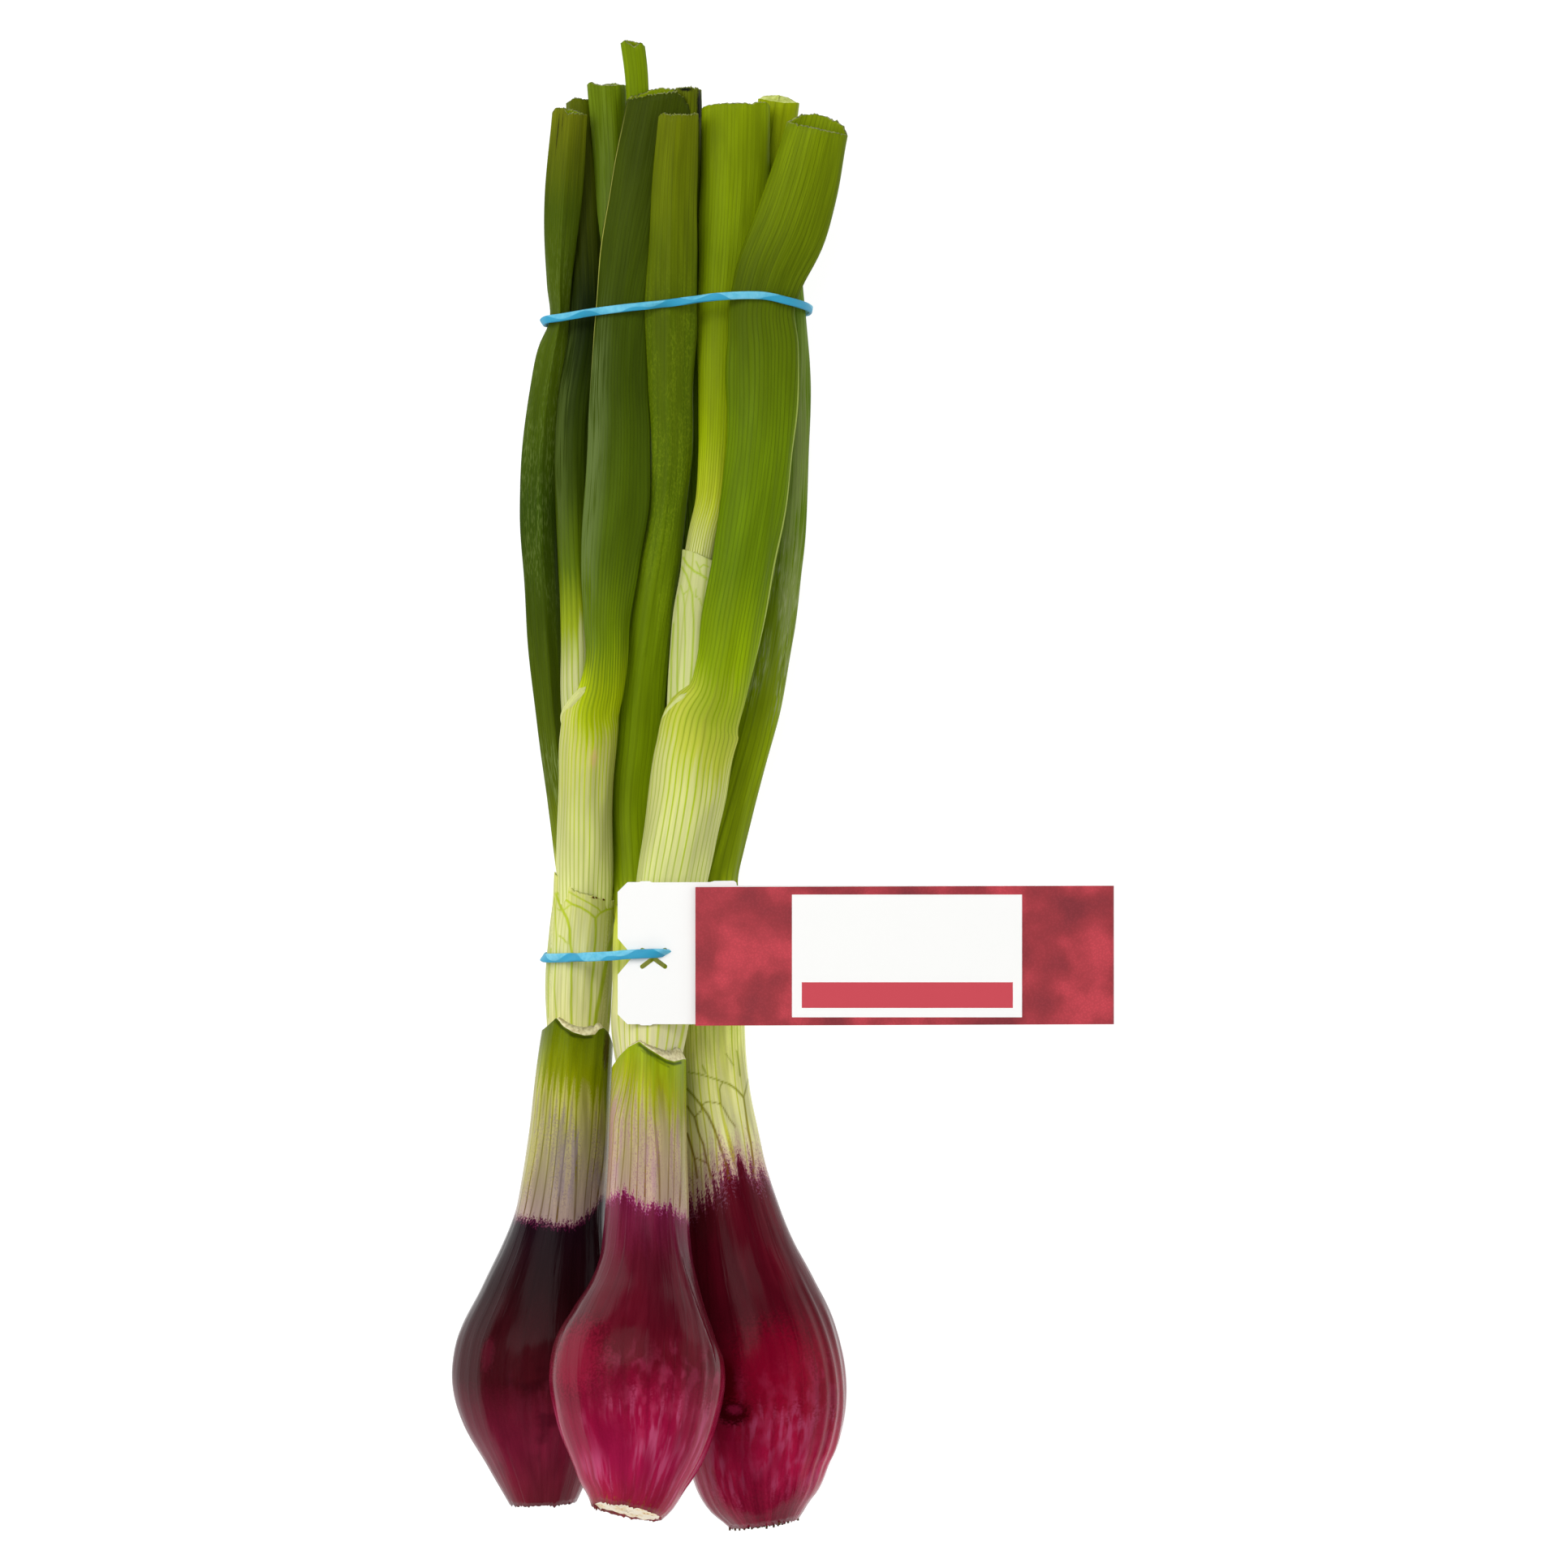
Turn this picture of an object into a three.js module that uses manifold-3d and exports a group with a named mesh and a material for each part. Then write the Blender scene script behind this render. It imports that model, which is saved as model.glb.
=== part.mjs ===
// A bunch of three red spring onions lying on a table, in millimetres.
// +Y points to the leaf tips, +X to the free end of the card tag and +Z up.
// The origin is under the middle of the bunch, on the table.
// Each onion is a bulb, whose outermost leaf is cut off at a collar, and leaves that sit one inside another.
// Two rubber bands hold the bunch together: one round the leaves, and one round the stems and through the tag.

import * as THREE from 'three';
import { mergeVertices } from 'three/addons/utils/BufferGeometryUtils.js';
import Module from 'manifold-3d';

const wasm = await Module();
wasm.setup();

// Driving dimensions.
const CLEARANCE = 0.35; // between neighbouring pieces
const LEAF_SIDES = 14;
const LEAF_WALL = 0.8; // wall of a hollow leaf at its cut end
const BULB_SIDES = 20;
const BAND_WIDTH = 1.8;
const BAND_THICKNESS = 0.9;
const BAND_STEPS = 44;
const LOWER_BAND_Y = -36.6;
const UPPER_BAND_Y = 101.8; // at x = -22
const UPPER_BAND_SLANT = 0.05; // rise in Y for each millimetre in X
const CARD = 0.4; // thickness of the tag's card
const TAG = { left: -35.6, panelLeft: -18.9, right: 70.6, bottom: -51.4, top: -21.0, z: 30.0 };
const TAG_FOLD_GAP = 0.5; // between the tag's two leaves
const TAG_CORNER = 2.1; // chamfer of the tag's corners by the notch
const NOTCH = { y: -36.9, depth: 3.3, halfHeight: 3.9 };
const SLIT = { x: -27.1, length: 5.8, width: 1.1, angle: 35 };

const COLOURS = {
  darkSkin: 0x3a1220,
  redSkin: 0x8c2348,
  crimsonSkin: 0x7a1733,
  olive: 0x5f7a10,
  deepGreen: 0x3f5a14,
  brightGreen: 0x84a01c,
  greyGreen: 0x7b8c4a,
  rubber: 0x3aa5cc,
  card: 0xb8404c,
};

// Stations of each piece, from the roots to the tip: [y, x, z, half width, half thickness].
const LEFT_BULB = [
  [-154.8, -52.0, 19.5, 7.4, 7.4],
  [-152.1, -52.1, 19.5, 8.8, 8.8],
  [-146.0, -52.4, 19.3, 11.9, 11.9],
  [-137.3, -52.7, 19.0, 16.5, 16.5],
  [-128.6, -52.7, 18.8, 18.8, 18.8],
  [-124.2, -52.5, 18.8, 18.7, 18.7],
  [-119.8, -52.0, 18.5, 17.9, 17.9],
  [-111.1, -50.8, 17.9, 14.7, 14.7],
  [-102.4, -49.6, 17.0, 11.8, 11.8],
  [-93.7, -48.5, 16.0, 9.7, 9.7],
  [-86.9, -47.9, 15.2, 9.0, 9.0],
  [-76.3, -46.9, 14.2, 8.4, 8.4],
  [-66.3, -46.1, 13.6, 8.1, 8.1],
  [-53.8, -44.8, 13.2, 7.6, 7.6],
];
const LEFT_LEAF_1 = [
  [-57.0, -44.8, 13.1, 6.4, 6.4],
  [-52.1, -44.7, 13.1, 6.8, 6.8],
  [-41.2, -44.3, 13.0, 7.2, 7.2],
  [-32.4, -43.9, 12.9, 7.0, 7.0],
  [-25.3, -43.6, 12.6, 6.7, 6.7],
  [-21.8, -44.4, 10.8, 5.3, 5.0],
  [-16.9, -45.3, 8.6, 4.5, 3.5],
  [-2.5, -48.3, 7.0, 3.4, 2.8],
  [10.4, -50.1, 6.6, 3.4, 2.8],
  [26.2, -51.5, 6.5, 3.8, 2.8],
  [44.9, -52.7, 6.8, 4.0, 2.8],
  [59.3, -53.3, 7.2, 4.2, 2.8],
  [75.9, -52.7, 7.8, 4.0, 2.8],
  [86.3, -51.6, 8.2, 3.6, 2.8],
  [94.1, -50.3, 8.4, 3.2, 2.9],
  [100.4, -48.9, 8.5, 2.1, 3.2],
  [108.7, -48.9, 9.0, 2.7, 2.9],
  [121.4, -48.3, 10.5, 3.9, 2.6],
  [134.9, -47.3, 11.5, 4.0, 2.4],
  [146.1, -46.4, 12.0, 3.8, 2.4],
];
const LEFT_LEAF_2 = [
  [-27.8, -43.4, 12.9, 6.0, 6.0],
  [-14.8, -43.2, 12.8, 6.2, 6.2],
  [0.2, -43.0, 12.7, 5.9, 6.1],
  [10.4, -42.3, 12.9, 6.1, 5.9],
  [15.1, -41.6, 13.6, 5.9, 5.2],
  [20.4, -39.6, 14.5, 5.0, 4.1],
  [26.0, -38.5, 14.8, 4.7, 3.4],
  [36.2, -38.3, 14.8, 5.1, 3.0],
  [47.3, -37.6, 14.5, 6.3, 2.8],
  [60.1, -36.3, 14.2, 7.1, 2.6],
  [75.6, -35.7, 13.6, 6.7, 2.4],
  [88.5, -35.8, 13.0, 6.1, 2.3],
  [100.5, -35.2, 12.4, 6.0, 2.2],
  [114.9, -33.2, 12.2, 6.6, 2.1],
  [132.5, -29.8, 12.3, 7.3, 2.0],
  [148.5, -26.8, 12.6, 7.3, 1.9],
];
const LEFT_LEAF_3 = [
  [12.0, -43.8, 12.0, 4.2, 4.2],
  [20.4, -44.7, 11.6, 3.7, 4.2],
  [29.2, -44.9, 11.0, 3.5, 3.8],
  [39.8, -45.1, 10.6, 3.5, 3.4],
  [55.2, -45.7, 10.0, 3.7, 3.0],
  [81.0, -45.4, 9.0, 4.1, 2.8],
  [100.8, -42.8, 7.6, 4.0, 2.3],
  [121.8, -43.3, 6.2, 3.7, 2.2],
  [135.5, -43.8, 5.4, 3.4, 2.2],
  [149.3, -44.3, 4.8, 3.1, 2.2],
];
const LEFT_LEAF_4 = [
  [26.0, -43.5, 12.3, 1.9, 1.7],
  [31.0, -43.1, 12.2, 1.9, 1.7],
  [36.3, -42.5, 11.0, 1.9, 1.4],
  [46.9, -40.7, 10.2, 2.3, 1.2],
  [64.5, -38.6, 10.1, 2.5, 1.2],
  [82.2, -36.9, 9.6, 2.5, 1.2],
  [100.7, -35.1, 8.8, 2.5, 1.2],
  [117.5, -33.5, 8.9, 2.5, 1.2],
  [135.1, -32.3, 9.1, 2.5, 1.2],
  [150.1, -31.9, 9.4, 2.5, 1.2],
  [156.2, -32.3, 9.8, 2.6, 1.3],
  [161.4, -33.0, 10.3, 2.6, 1.3],
];
const MIDDLE_BULB = [
  [-152.6, -33.0, 56.8, 7.7, 7.7],
  [-149.8, -32.4, 56.0, 9.7, 9.7],
  [-145.8, -31.9, 55.0, 11.9, 11.9],
  [-140.0, -31.3, 53.4, 14.9, 14.9],
  [-132.7, -31.0, 51.5, 17.4, 17.4],
  [-125.2, -30.9, 49.5, 18.6, 18.6],
  [-120.0, -30.8, 48.2, 17.9, 17.9],
  [-113.7, -30.2, 46.1, 15.1, 15.1],
  [-107.8, -29.6, 43.8, 12.2, 12.2],
  [-101.0, -29.3, 40.9, 9.9, 9.9],
  [-95.7, -29.3, 38.3, 9.2, 9.2],
  [-87.8, -29.2, 34.4, 8.8, 8.8],
  [-75.5, -29.1, 29.0, 8.3, 8.3],
  [-65.7, -29.1, 25.6, 8.1, 8.1],
  [-58.6, -29.0, 23.5, 8.0, 8.0],
];
const MIDDLE_LEAF_1 = [
  [-62.0, -29.0, 24.4, 6.6, 6.6],
  [-58.0, -29.0, 23.2, 7.1, 7.1],
  [-52.2, -28.7, 22.1, 7.4, 7.4],
  [-44.4, -27.6, 20.9, 7.7, 7.7],
  [-36.6, -26.4, 19.9, 7.8, 7.8],
  [-30.5, -25.7, 19.1, 7.7, 7.6],
  [-25.6, -28.3, 16.4, 7.3, 6.3],
  [-21.5, -31.4, 13.0, 5.4, 4.6],
  [-14.8, -32.6, 10.0, 4.4, 3.4],
  [-5.1, -32.8, 8.6, 4.4, 2.8],
  [10.4, -31.1, 9.0, 4.7, 2.7],
  [20.8, -30.2, 9.8, 4.5, 2.7],
  [36.3, -28.5, 11.0, 4.4, 2.7],
  [47.4, -27.1, 11.6, 4.6, 2.7],
  [55.1, -26.1, 12.0, 4.4, 2.6],
  [70.6, -24.5, 12.6, 4.5, 2.5],
  [86.0, -24.6, 13.0, 5.1, 2.4],
  [100.4, -24.4, 13.2, 5.6, 2.3],
  [117.0, -24.1, 14.4, 5.3, 2.2],
  [129.7, -23.7, 15.5, 4.9, 2.1],
  [144.3, -22.8, 16.9, 4.4, 2.0],
];
const MIDDLE_LEAF_2 = [
  [-33.0, -25.9, 19.5, 6.8, 6.8],
  [-28.0, -25.2, 19.0, 7.2, 7.2],
  [-20.7, -24.2, 18.5, 7.5, 7.5],
  [-12.1, -22.6, 18.2, 7.9, 7.3],
  [-3.0, -21.0, 18.0, 8.2, 7.0],
  [7.4, -19.4, 17.9, 8.3, 6.6],
  [14.0, -17.5, 18.1, 8.4, 6.0],
  [18.6, -14.8, 18.8, 6.7, 4.8],
  [24.9, -12.9, 19.2, 6.4, 3.8],
  [36.1, -10.9, 18.8, 6.7, 3.3],
  [50.7, -8.3, 17.6, 6.9, 3.0],
  [64.2, -6.2, 16.8, 7.3, 2.8],
  [80.6, -4.7, 16.0, 7.6, 2.5],
  [94.1, -4.5, 15.2, 7.8, 2.4],
  [103.3, -4.9, 14.8, 7.2, 2.3],
  [109.9, -3.2, 15.0, 7.6, 2.4],
  [120.1, 1.1, 15.8, 8.1, 2.5],
  [130.8, 4.6, 17.0, 7.8, 2.7],
  [141.2, 7.2, 18.3, 6.8, 3.1],
];
const MIDDLE_LEAF_3 = [
  [10.7, -20.6, 16.2, 5.0, 4.8],
  [16.8, -20.4, 15.6, 4.9, 4.6],
  [25.6, -19.8, 15.0, 5.1, 4.3],
  [36.2, -19.1, 14.4, 5.0, 4.1],
  [46.7, -17.7, 13.6, 4.7, 3.9],
  [53.9, -15.0, 11.8, 4.4, 3.2],
  [64.6, -12.0, 8.8, 4.2, 2.8],
  [82.4, -9.2, 5.6, 4.2, 2.7],
  [101.1, -8.0, 4.4, 4.1, 2.6],
  [117.8, -5.0, 4.8, 4.2, 2.7],
  [135.4, -2.7, 5.6, 4.2, 2.7],
  [148.3, -1.2, 6.4, 4.6, 2.7],
];
const MIDDLE_LEAF_4 = [
  [42.0, -18.4, 13.8, 3.4, 2.9],
  [48.5, -18.4, 13.8, 3.6, 2.9],
  [55.0, -16.7, 13.4, 4.0, 2.7],
  [60.1, -15.3, 13.0, 4.2, 2.5],
  [70.6, -14.1, 12.0, 4.6, 2.4],
  [80.8, -13.6, 11.2, 5.1, 2.2],
  [100.6, -13.0, 10.0, 5.9, 2.1],
  [117.4, -11.6, 10.2, 7.0, 2.2],
  [131.4, -10.7, 11.0, 7.6, 2.3],
  [147.7, -10.4, 12.0, 7.6, 2.5],
];
const RIGHT_BULB = [
  [-159.7, -4.3, 18.8, 7.7, 7.7],
  [-158.0, -4.5, 18.8, 9.1, 9.1],
  [-154.8, -4.9, 18.8, 11.6, 11.6],
  [-146.1, -5.4, 18.6, 15.4, 15.4],
  [-139.1, -5.1, 18.5, 17.5, 17.5],
  [-133.0, -4.9, 18.4, 18.4, 18.4],
  [-126.8, -5.1, 18.4, 18.3, 18.3],
  [-119.9, -5.8, 18.0, 17.2, 17.2],
  [-111.2, -7.7, 17.5, 14.9, 14.9],
  [-102.4, -9.8, 16.7, 12.5, 12.5],
  [-93.7, -11.6, 15.7, 10.9, 10.9],
  [-85.0, -13.2, 14.5, 9.7, 9.7],
  [-76.3, -14.2, 13.2, 8.8, 8.8],
  [-67.6, -15.5, 11.8, 8.3, 8.3],
  [-58.9, -16.2, 10.6, 7.9, 7.9],
  [-48.0, -16.4, 9.4, 7.8, 7.8],
];
const RIGHT_LEAF_1 = [
  [-52.2, -16.4, 9.7, 6.7, 6.7],
  [-46.6, -16.3, 9.2, 7.3, 7.3],
  [-36.9, -16.2, 8.9, 7.4, 7.4],
  [-29.0, -16.1, 8.2, 6.9, 6.3],
  [-21.0, -16.2, 7.6, 6.1, 5.2],
  [-13.1, -14.3, 7.4, 5.7, 4.2],
  [-6.0, -12.3, 7.3, 5.4, 3.6],
  [11.7, -7.4, 7.6, 5.5, 3.1],
  [29.3, -3.8, 8.2, 5.4, 3.0],
  [46.9, -1.4, 8.8, 5.3, 3.0],
  [64.6, 0.2, 9.0, 5.1, 3.0],
  [82.2, 0.8, 8.8, 4.9, 3.1],
  [95.5, 0.9, 8.4, 4.4, 3.2],
  [100.8, 0.8, 8.2, 4.0, 3.3],
  [108.7, -0.2, 8.0, 4.2, 3.1],
  [121.0, 0.5, 8.6, 4.2, 2.8],
  [135.1, 1.8, 9.6, 4.2, 2.5],
];
const RIGHT_LEAF_2 = [
  [-18.0, -17.4, 7.6, 4.0, 3.4],
  [-6.0, -18.6, 6.8, 4.3, 3.4],
  [1.1, -20.0, 6.0, 4.4, 3.2],
  [11.7, -23.2, 5.0, 4.4, 3.0],
  [29.4, -26.7, 4.3, 4.4, 2.8],
  [47.1, -29.7, 4.0, 4.4, 2.8],
  [64.8, -32.4, 3.8, 4.4, 2.8],
  [82.5, -34.7, 3.8, 4.4, 2.8],
  [101.1, -36.5, 4.2, 4.4, 2.8],
  [117.8, -37.1, 5.2, 4.2, 2.9],
  [135.4, -37.6, 6.4, 3.9, 3.0],
  [152.6, -38.7, 7.5, 4.1, 3.1],
];
const RIGHT_LEAF_3 = [
  [-6.0, -17.6, 6.8, 2.6, 2.4],
  [4.6, -17.4, 6.3, 3.2, 2.7],
  [11.7, -18.0, 5.9, 3.5, 2.9],
  [29.4, -20.0, 5.3, 4.2, 3.0],
  [47.1, -21.4, 5.0, 4.6, 3.0],
  [64.8, -22.3, 4.8, 5.0, 3.0],
  [82.4, -22.6, 4.8, 5.3, 3.0],
  [101.0, -22.6, 5.0, 5.4, 2.9],
  [117.7, -22.1, 6.8, 4.8, 2.8],
  [135.1, -21.4, 9.0, 3.8, 2.6],
  [151.2, -20.7, 10.8, 2.9, 2.5],
];

// Each rubber band's centreline, seen along Y: [x, z], going round clockwise from the left.
const UPPER_BAND = [
  [-52.4, 8.6],
  [-51.4, 11.6],
  [-48.4, 12.9],
  [-42.0, 14.3],
  [-35.0, 15.6],
  [-24.4, 16.6],
  [-14.0, 17.5],
  [-5.0, 18.1],
  [0.6, 17.4],
  [3.8, 15.2],
  [5.4, 11.8],
  [5.8, 8.2],
  [4.8, 4.8],
  [1.2, 3.0],
  [-8.0, 1.0],
  [-22.0, 0.75],
  [-36.5, 0.75],
  [-43.0, 2.0],
  [-49.2, 4.2],
  [-51.7, 6.1],
];
const LOWER_BAND = [
  [-52.1, 13.0],
  [-51.2, 16.9],
  [-48.6, 19.9],
  [-43.0, 24.4],
  [-36.8, 29.6],
  [-34.0, 31.2],
  [-27.2, 31.25],
  [-25.3, 30.2],
  [-23.2, 28.4],
  [-19.4, 25.2],
  [-14.0, 19.0],
  [-9.6, 13.6],
  [-7.9, 9.0],
  [-9.6, 3.9],
  [-15.6, 0.75],
  [-23.0, 0.9],
  [-34.0, 2.9],
  [-44.2, 5.0],
  [-49.4, 7.3],
];

// A closed surface through rings of points; each ring has the same number of points.
function skin(rings, isLoop) {
  const count = rings[0].length;
  const positions = rings.flat().flatMap((point) => point.toArray());
  const index = [];
  const spans = isLoop ? rings.length : rings.length - 1;
  for (let i = 0; i < spans; i += 1) {
    const near = i * count;
    const far = ((i + 1) % rings.length) * count;
    for (let j = 0; j < count; j += 1) {
      const k = (j + 1) % count;
      index.push(near + j, far + j, near + k);
      index.push(near + k, far + j, far + k);
    }
  }
  if (!isLoop) {
    const last = (rings.length - 1) * count;
    for (let j = 1; j < count - 1; j += 1) {
      index.push(0, j, j + 1);
      index.push(last, last + j + 1, last + j);
    }
  }
  const geometry = new THREE.BufferGeometry();
  geometry.setAttribute('position', new THREE.Float32BufferAttribute(positions, 3));
  geometry.setIndex(index);
  return geometry;
}

// A bulb or leaf through its stations, each ring square to the way it grows, grown outwards by a clearance.
function grown(stations, sides, clearance = 0) {
  const centres = stations.map(([y, x, z]) => new THREE.Vector3(x, y, z));
  const up = new THREE.Vector3(0, 0, 1);
  const rings = stations.map((station, i) => {
    const before = centres[Math.max(i - 1, 0)];
    const after = centres[Math.min(i + 1, centres.length - 1)];
    const along = after.clone().sub(before).normalize();
    const side = along.clone().cross(up).normalize();
    const front = side.clone().cross(along);
    const centre = centres[i].clone();
    if (i === 0) centre.addScaledVector(along, -clearance);
    if (i === centres.length - 1) centre.addScaledVector(along, clearance);
    const ring = [];
    for (let j = 0; j < sides; j += 1) {
      const angle = (j / sides) * 2 * Math.PI;
      const point = centre.clone();
      point.addScaledVector(side, (station[3] + clearance) * Math.cos(angle));
      point.addScaledVector(front, (station[4] + clearance) * Math.sin(angle));
      ring.push(point);
    }
    return ring;
  });
  return skin(rings, false);
}

// A flat rubber band: its wide side lies along Y, and `yAt` gives Y for each X.
function rubberBand(outline, yAt, clearance = 0) {
  const points = outline.map(([x, z]) => new THREE.Vector3(x, yAt(x), z));
  const curve = new THREE.CatmullRomCurve3(points, true, 'centripetal');
  const wide = BAND_WIDTH / 2 + clearance;
  const thin = BAND_THICKNESS / 2 + clearance;
  const corners = [[-wide, -thin], [-wide, thin], [wide, thin], [wide, -thin]];
  const rings = [];
  for (let i = 0; i < BAND_STEPS; i += 1) {
    const centre = curve.getPointAt(i / BAND_STEPS);
    const along = curve.getTangentAt(i / BAND_STEPS);
    const outward = new THREE.Vector3(-along.z, 0, along.x).normalize();
    const ring = corners.map(([across, out]) => {
      const point = centre.clone().addScaledVector(outward, out);
      point.y += across;
      return point;
    });
    rings.push(ring);
  }
  return skin(rings, true);
}

function toSolid(geometry) {
  const bare = geometry.clone();
  bare.deleteAttribute('normal');
  bare.deleteAttribute('uv');
  const merged = mergeVertices(bare, 1e-4);
  const vertProperties = new Float32Array(merged.attributes.position.array);
  const triVerts = new Uint32Array(merged.index.array);
  return new wasm.Manifold(new wasm.Mesh({ numProp: 3, vertProperties, triVerts }));
}

function cut(geometry, tools) {
  const solid = tools.reduce((left, tool) => left.subtract(toSolid(tool)), toSolid(geometry));
  const mesh = solid.getMesh();
  const result = new THREE.BufferGeometry();
  result.setAttribute('position', new THREE.BufferAttribute(mesh.vertProperties, 3));
  result.setIndex(new THREE.BufferAttribute(mesh.triVerts, 1));
  return result;
}

// The room that a neighbour takes, from one of its stations to another.
function room(stations, first = 0, last = stations.length - 1) {
  return grown(stations.slice(first, last + 1), LEAF_SIDES, CLEARANCE);
}

// The hollow of a leaf behind its cut end, from the given station to past the tip.
function hollow(stations, first) {
  return grown(stations.slice(first), LEAF_SIDES, -LEAF_WALL).translate(0, 2 * LEAF_WALL, 0);
}

// The tag is one card folded back on itself at its right end, with a notch and a crossed slit for the band.
function foldedTag() {
  const fold = CARD + TAG_FOLD_GAP / 2; // outer radius of the fold
  const middle = TAG.z + fold;
  const profile = new THREE.Shape();
  profile.moveTo(TAG.left, TAG.z);
  profile.lineTo(TAG.right - fold, TAG.z);
  profile.absarc(TAG.right - fold, middle, fold, -Math.PI / 2, Math.PI / 2, false);
  profile.lineTo(TAG.panelLeft, middle + fold);
  profile.lineTo(TAG.panelLeft, middle + TAG_FOLD_GAP / 2);
  profile.lineTo(TAG.right - fold, middle + TAG_FOLD_GAP / 2);
  profile.absarc(TAG.right - fold, middle, TAG_FOLD_GAP / 2, Math.PI / 2, -Math.PI / 2, true);
  profile.lineTo(TAG.left, TAG.z + CARD);
  profile.closePath();
  const height = TAG.top - TAG.bottom;
  const card = new THREE.ExtrudeGeometry(profile, { depth: height, bevelEnabled: false, curveSegments: 5 });
  card.rotateX(Math.PI / 2);
  card.translate(0, TAG.top, 0);
  return card;
}

// Upright prisms that cut the tag's back leaf: two corners, the notch and the arms of the slit.
function tagCutters() {
  const past = 1; // how far a cutter reaches past the card
  const left = TAG.left - past;
  const corner = TAG_CORNER + past;
  const outlines = [
    [[left, TAG.top + past], [TAG.left + corner, TAG.top + past], [left, TAG.top - corner]],
    [[left, TAG.bottom - past], [left, TAG.bottom + corner], [TAG.left + corner, TAG.bottom - past]],
    [
      [left, NOTCH.y + NOTCH.halfHeight + past],
      [left, NOTCH.y - NOTCH.halfHeight - past],
      [TAG.left + NOTCH.depth, NOTCH.y],
    ],
  ];
  const prisms = outlines.map((outline) => {
    const shape = new THREE.Shape(outline.map(([x, y]) => new THREE.Vector2(x, y)));
    const prism = new THREE.ExtrudeGeometry(shape, { depth: CARD + 2 * past, bevelEnabled: false });
    prism.translate(0, 0, TAG.z - past);
    return prism;
  });
  const arms = [SLIT.angle, -SLIT.angle].map((degrees) => {
    const arm = new THREE.BoxGeometry(SLIT.length, SLIT.width, 2 * CARD);
    arm.rotateZ(THREE.MathUtils.degToRad(degrees));
    arm.translate(SLIT.x, NOTCH.y, TAG.z + CARD / 2);
    return arm;
  });
  return [...prisms, ...arms];
}

const upperY = (x) => UPPER_BAND_Y + (x + 22) * UPPER_BAND_SLANT;
const lowerY = () => LOWER_BAND_Y;
const bunch = new THREE.Group();
bunch.name = 'spring_onion_bunch';

function add(name, geometry, color, roughness) {
  const material = new THREE.MeshStandardMaterial({ color, roughness, metalness: 0 });
  const mesh = new THREE.Mesh(geometry, material);
  mesh.name = name;
  bunch.add(mesh);
}

function bulb(stations, leafInside) {
  return cut(grown(stations, BULB_SIDES), [room(leafInside, 0, 4)]);
}

// The left onion: a dark bulb and four leaves.
add('left_bulb', bulb(LEFT_BULB, LEFT_LEAF_1), COLOURS.darkSkin, 0.4);
add('left_leaf_1', cut(grown(LEFT_LEAF_1, LEAF_SIDES), [room(LEFT_LEAF_2)]), COLOURS.olive, 0.5);
add('left_leaf_2', cut(grown(LEFT_LEAF_2, LEAF_SIDES), [
  room(LEFT_LEAF_3, 0, 2),
  hollow(LEFT_LEAF_2, 14),
]), COLOURS.deepGreen, 0.5);
add('left_leaf_3', cut(grown(LEFT_LEAF_3, LEAF_SIDES), [
  room(LEFT_LEAF_2, 6),
  room(LEFT_LEAF_1, 7),
  room(LEFT_LEAF_4),
]), COLOURS.deepGreen, 0.5);
add('left_leaf_4', cut(grown(LEFT_LEAF_4, LEAF_SIDES), [room(LEFT_LEAF_2, 5)]), COLOURS.brightGreen, 0.5);

// The middle onion lies on the other two: a red bulb and four leaves.
add('middle_bulb', bulb(MIDDLE_BULB, MIDDLE_LEAF_1), COLOURS.redSkin, 0.3);
add('middle_leaf_1', cut(grown(MIDDLE_LEAF_1, LEAF_SIDES), [
  room(MIDDLE_LEAF_2),
  room(LEFT_LEAF_2),
]), COLOURS.olive, 0.5);
add('middle_leaf_2', cut(grown(MIDDLE_LEAF_2, LEAF_SIDES), [
  room(MIDDLE_LEAF_3, 0, 2),
  hollow(MIDDLE_LEAF_2, 16),
]), COLOURS.brightGreen, 0.5);
add('middle_leaf_3', cut(grown(MIDDLE_LEAF_3, LEAF_SIDES), [
  room(MIDDLE_LEAF_2, 7),
  room(MIDDLE_LEAF_4),
]), COLOURS.brightGreen, 0.5);
add('middle_leaf_4', cut(grown(MIDDLE_LEAF_4, LEAF_SIDES), [
  room(MIDDLE_LEAF_2, 7),
  room(MIDDLE_LEAF_1, 7),
]), COLOURS.brightGreen, 0.5);

// The right onion: a crimson bulb and three leaves, two of them behind the others.
add('right_bulb', bulb(RIGHT_BULB, RIGHT_LEAF_1), COLOURS.crimsonSkin, 0.3);
add('right_leaf_1', cut(grown(RIGHT_LEAF_1, LEAF_SIDES), [
  room(MIDDLE_LEAF_1, 0, 7),
  room(MIDDLE_LEAF_2),
  room(MIDDLE_LEAF_3, 6),
  room(RIGHT_LEAF_2),
  room(RIGHT_LEAF_3, 0, 3),
]), COLOURS.greyGreen, 0.6);
add('right_leaf_2', cut(grown(RIGHT_LEAF_2, LEAF_SIDES), [
  room(RIGHT_LEAF_3, 0, 3),
  room(MIDDLE_LEAF_1, 7),
  room(LEFT_LEAF_3),
  room(LEFT_LEAF_4),
  hollow(RIGHT_LEAF_2, 10),
]), COLOURS.greyGreen, 0.5);
add('right_leaf_3', cut(grown(RIGHT_LEAF_3, LEAF_SIDES), [
  room(LEFT_LEAF_2, 12),
  room(MIDDLE_LEAF_1, 7),
  room(RIGHT_LEAF_2, 3),
]), COLOURS.olive, 0.5);

// The two bands and the tag.
add('upper_band', rubberBand(UPPER_BAND, upperY), COLOURS.rubber, 0.6);
add('lower_band', rubberBand(LOWER_BAND, lowerY), COLOURS.rubber, 0.6);
add('hang_tag', cut(foldedTag(), [
  ...tagCutters(),
  rubberBand(LOWER_BAND, lowerY, CLEARANCE),
]), COLOURS.card, 0.7);

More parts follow.
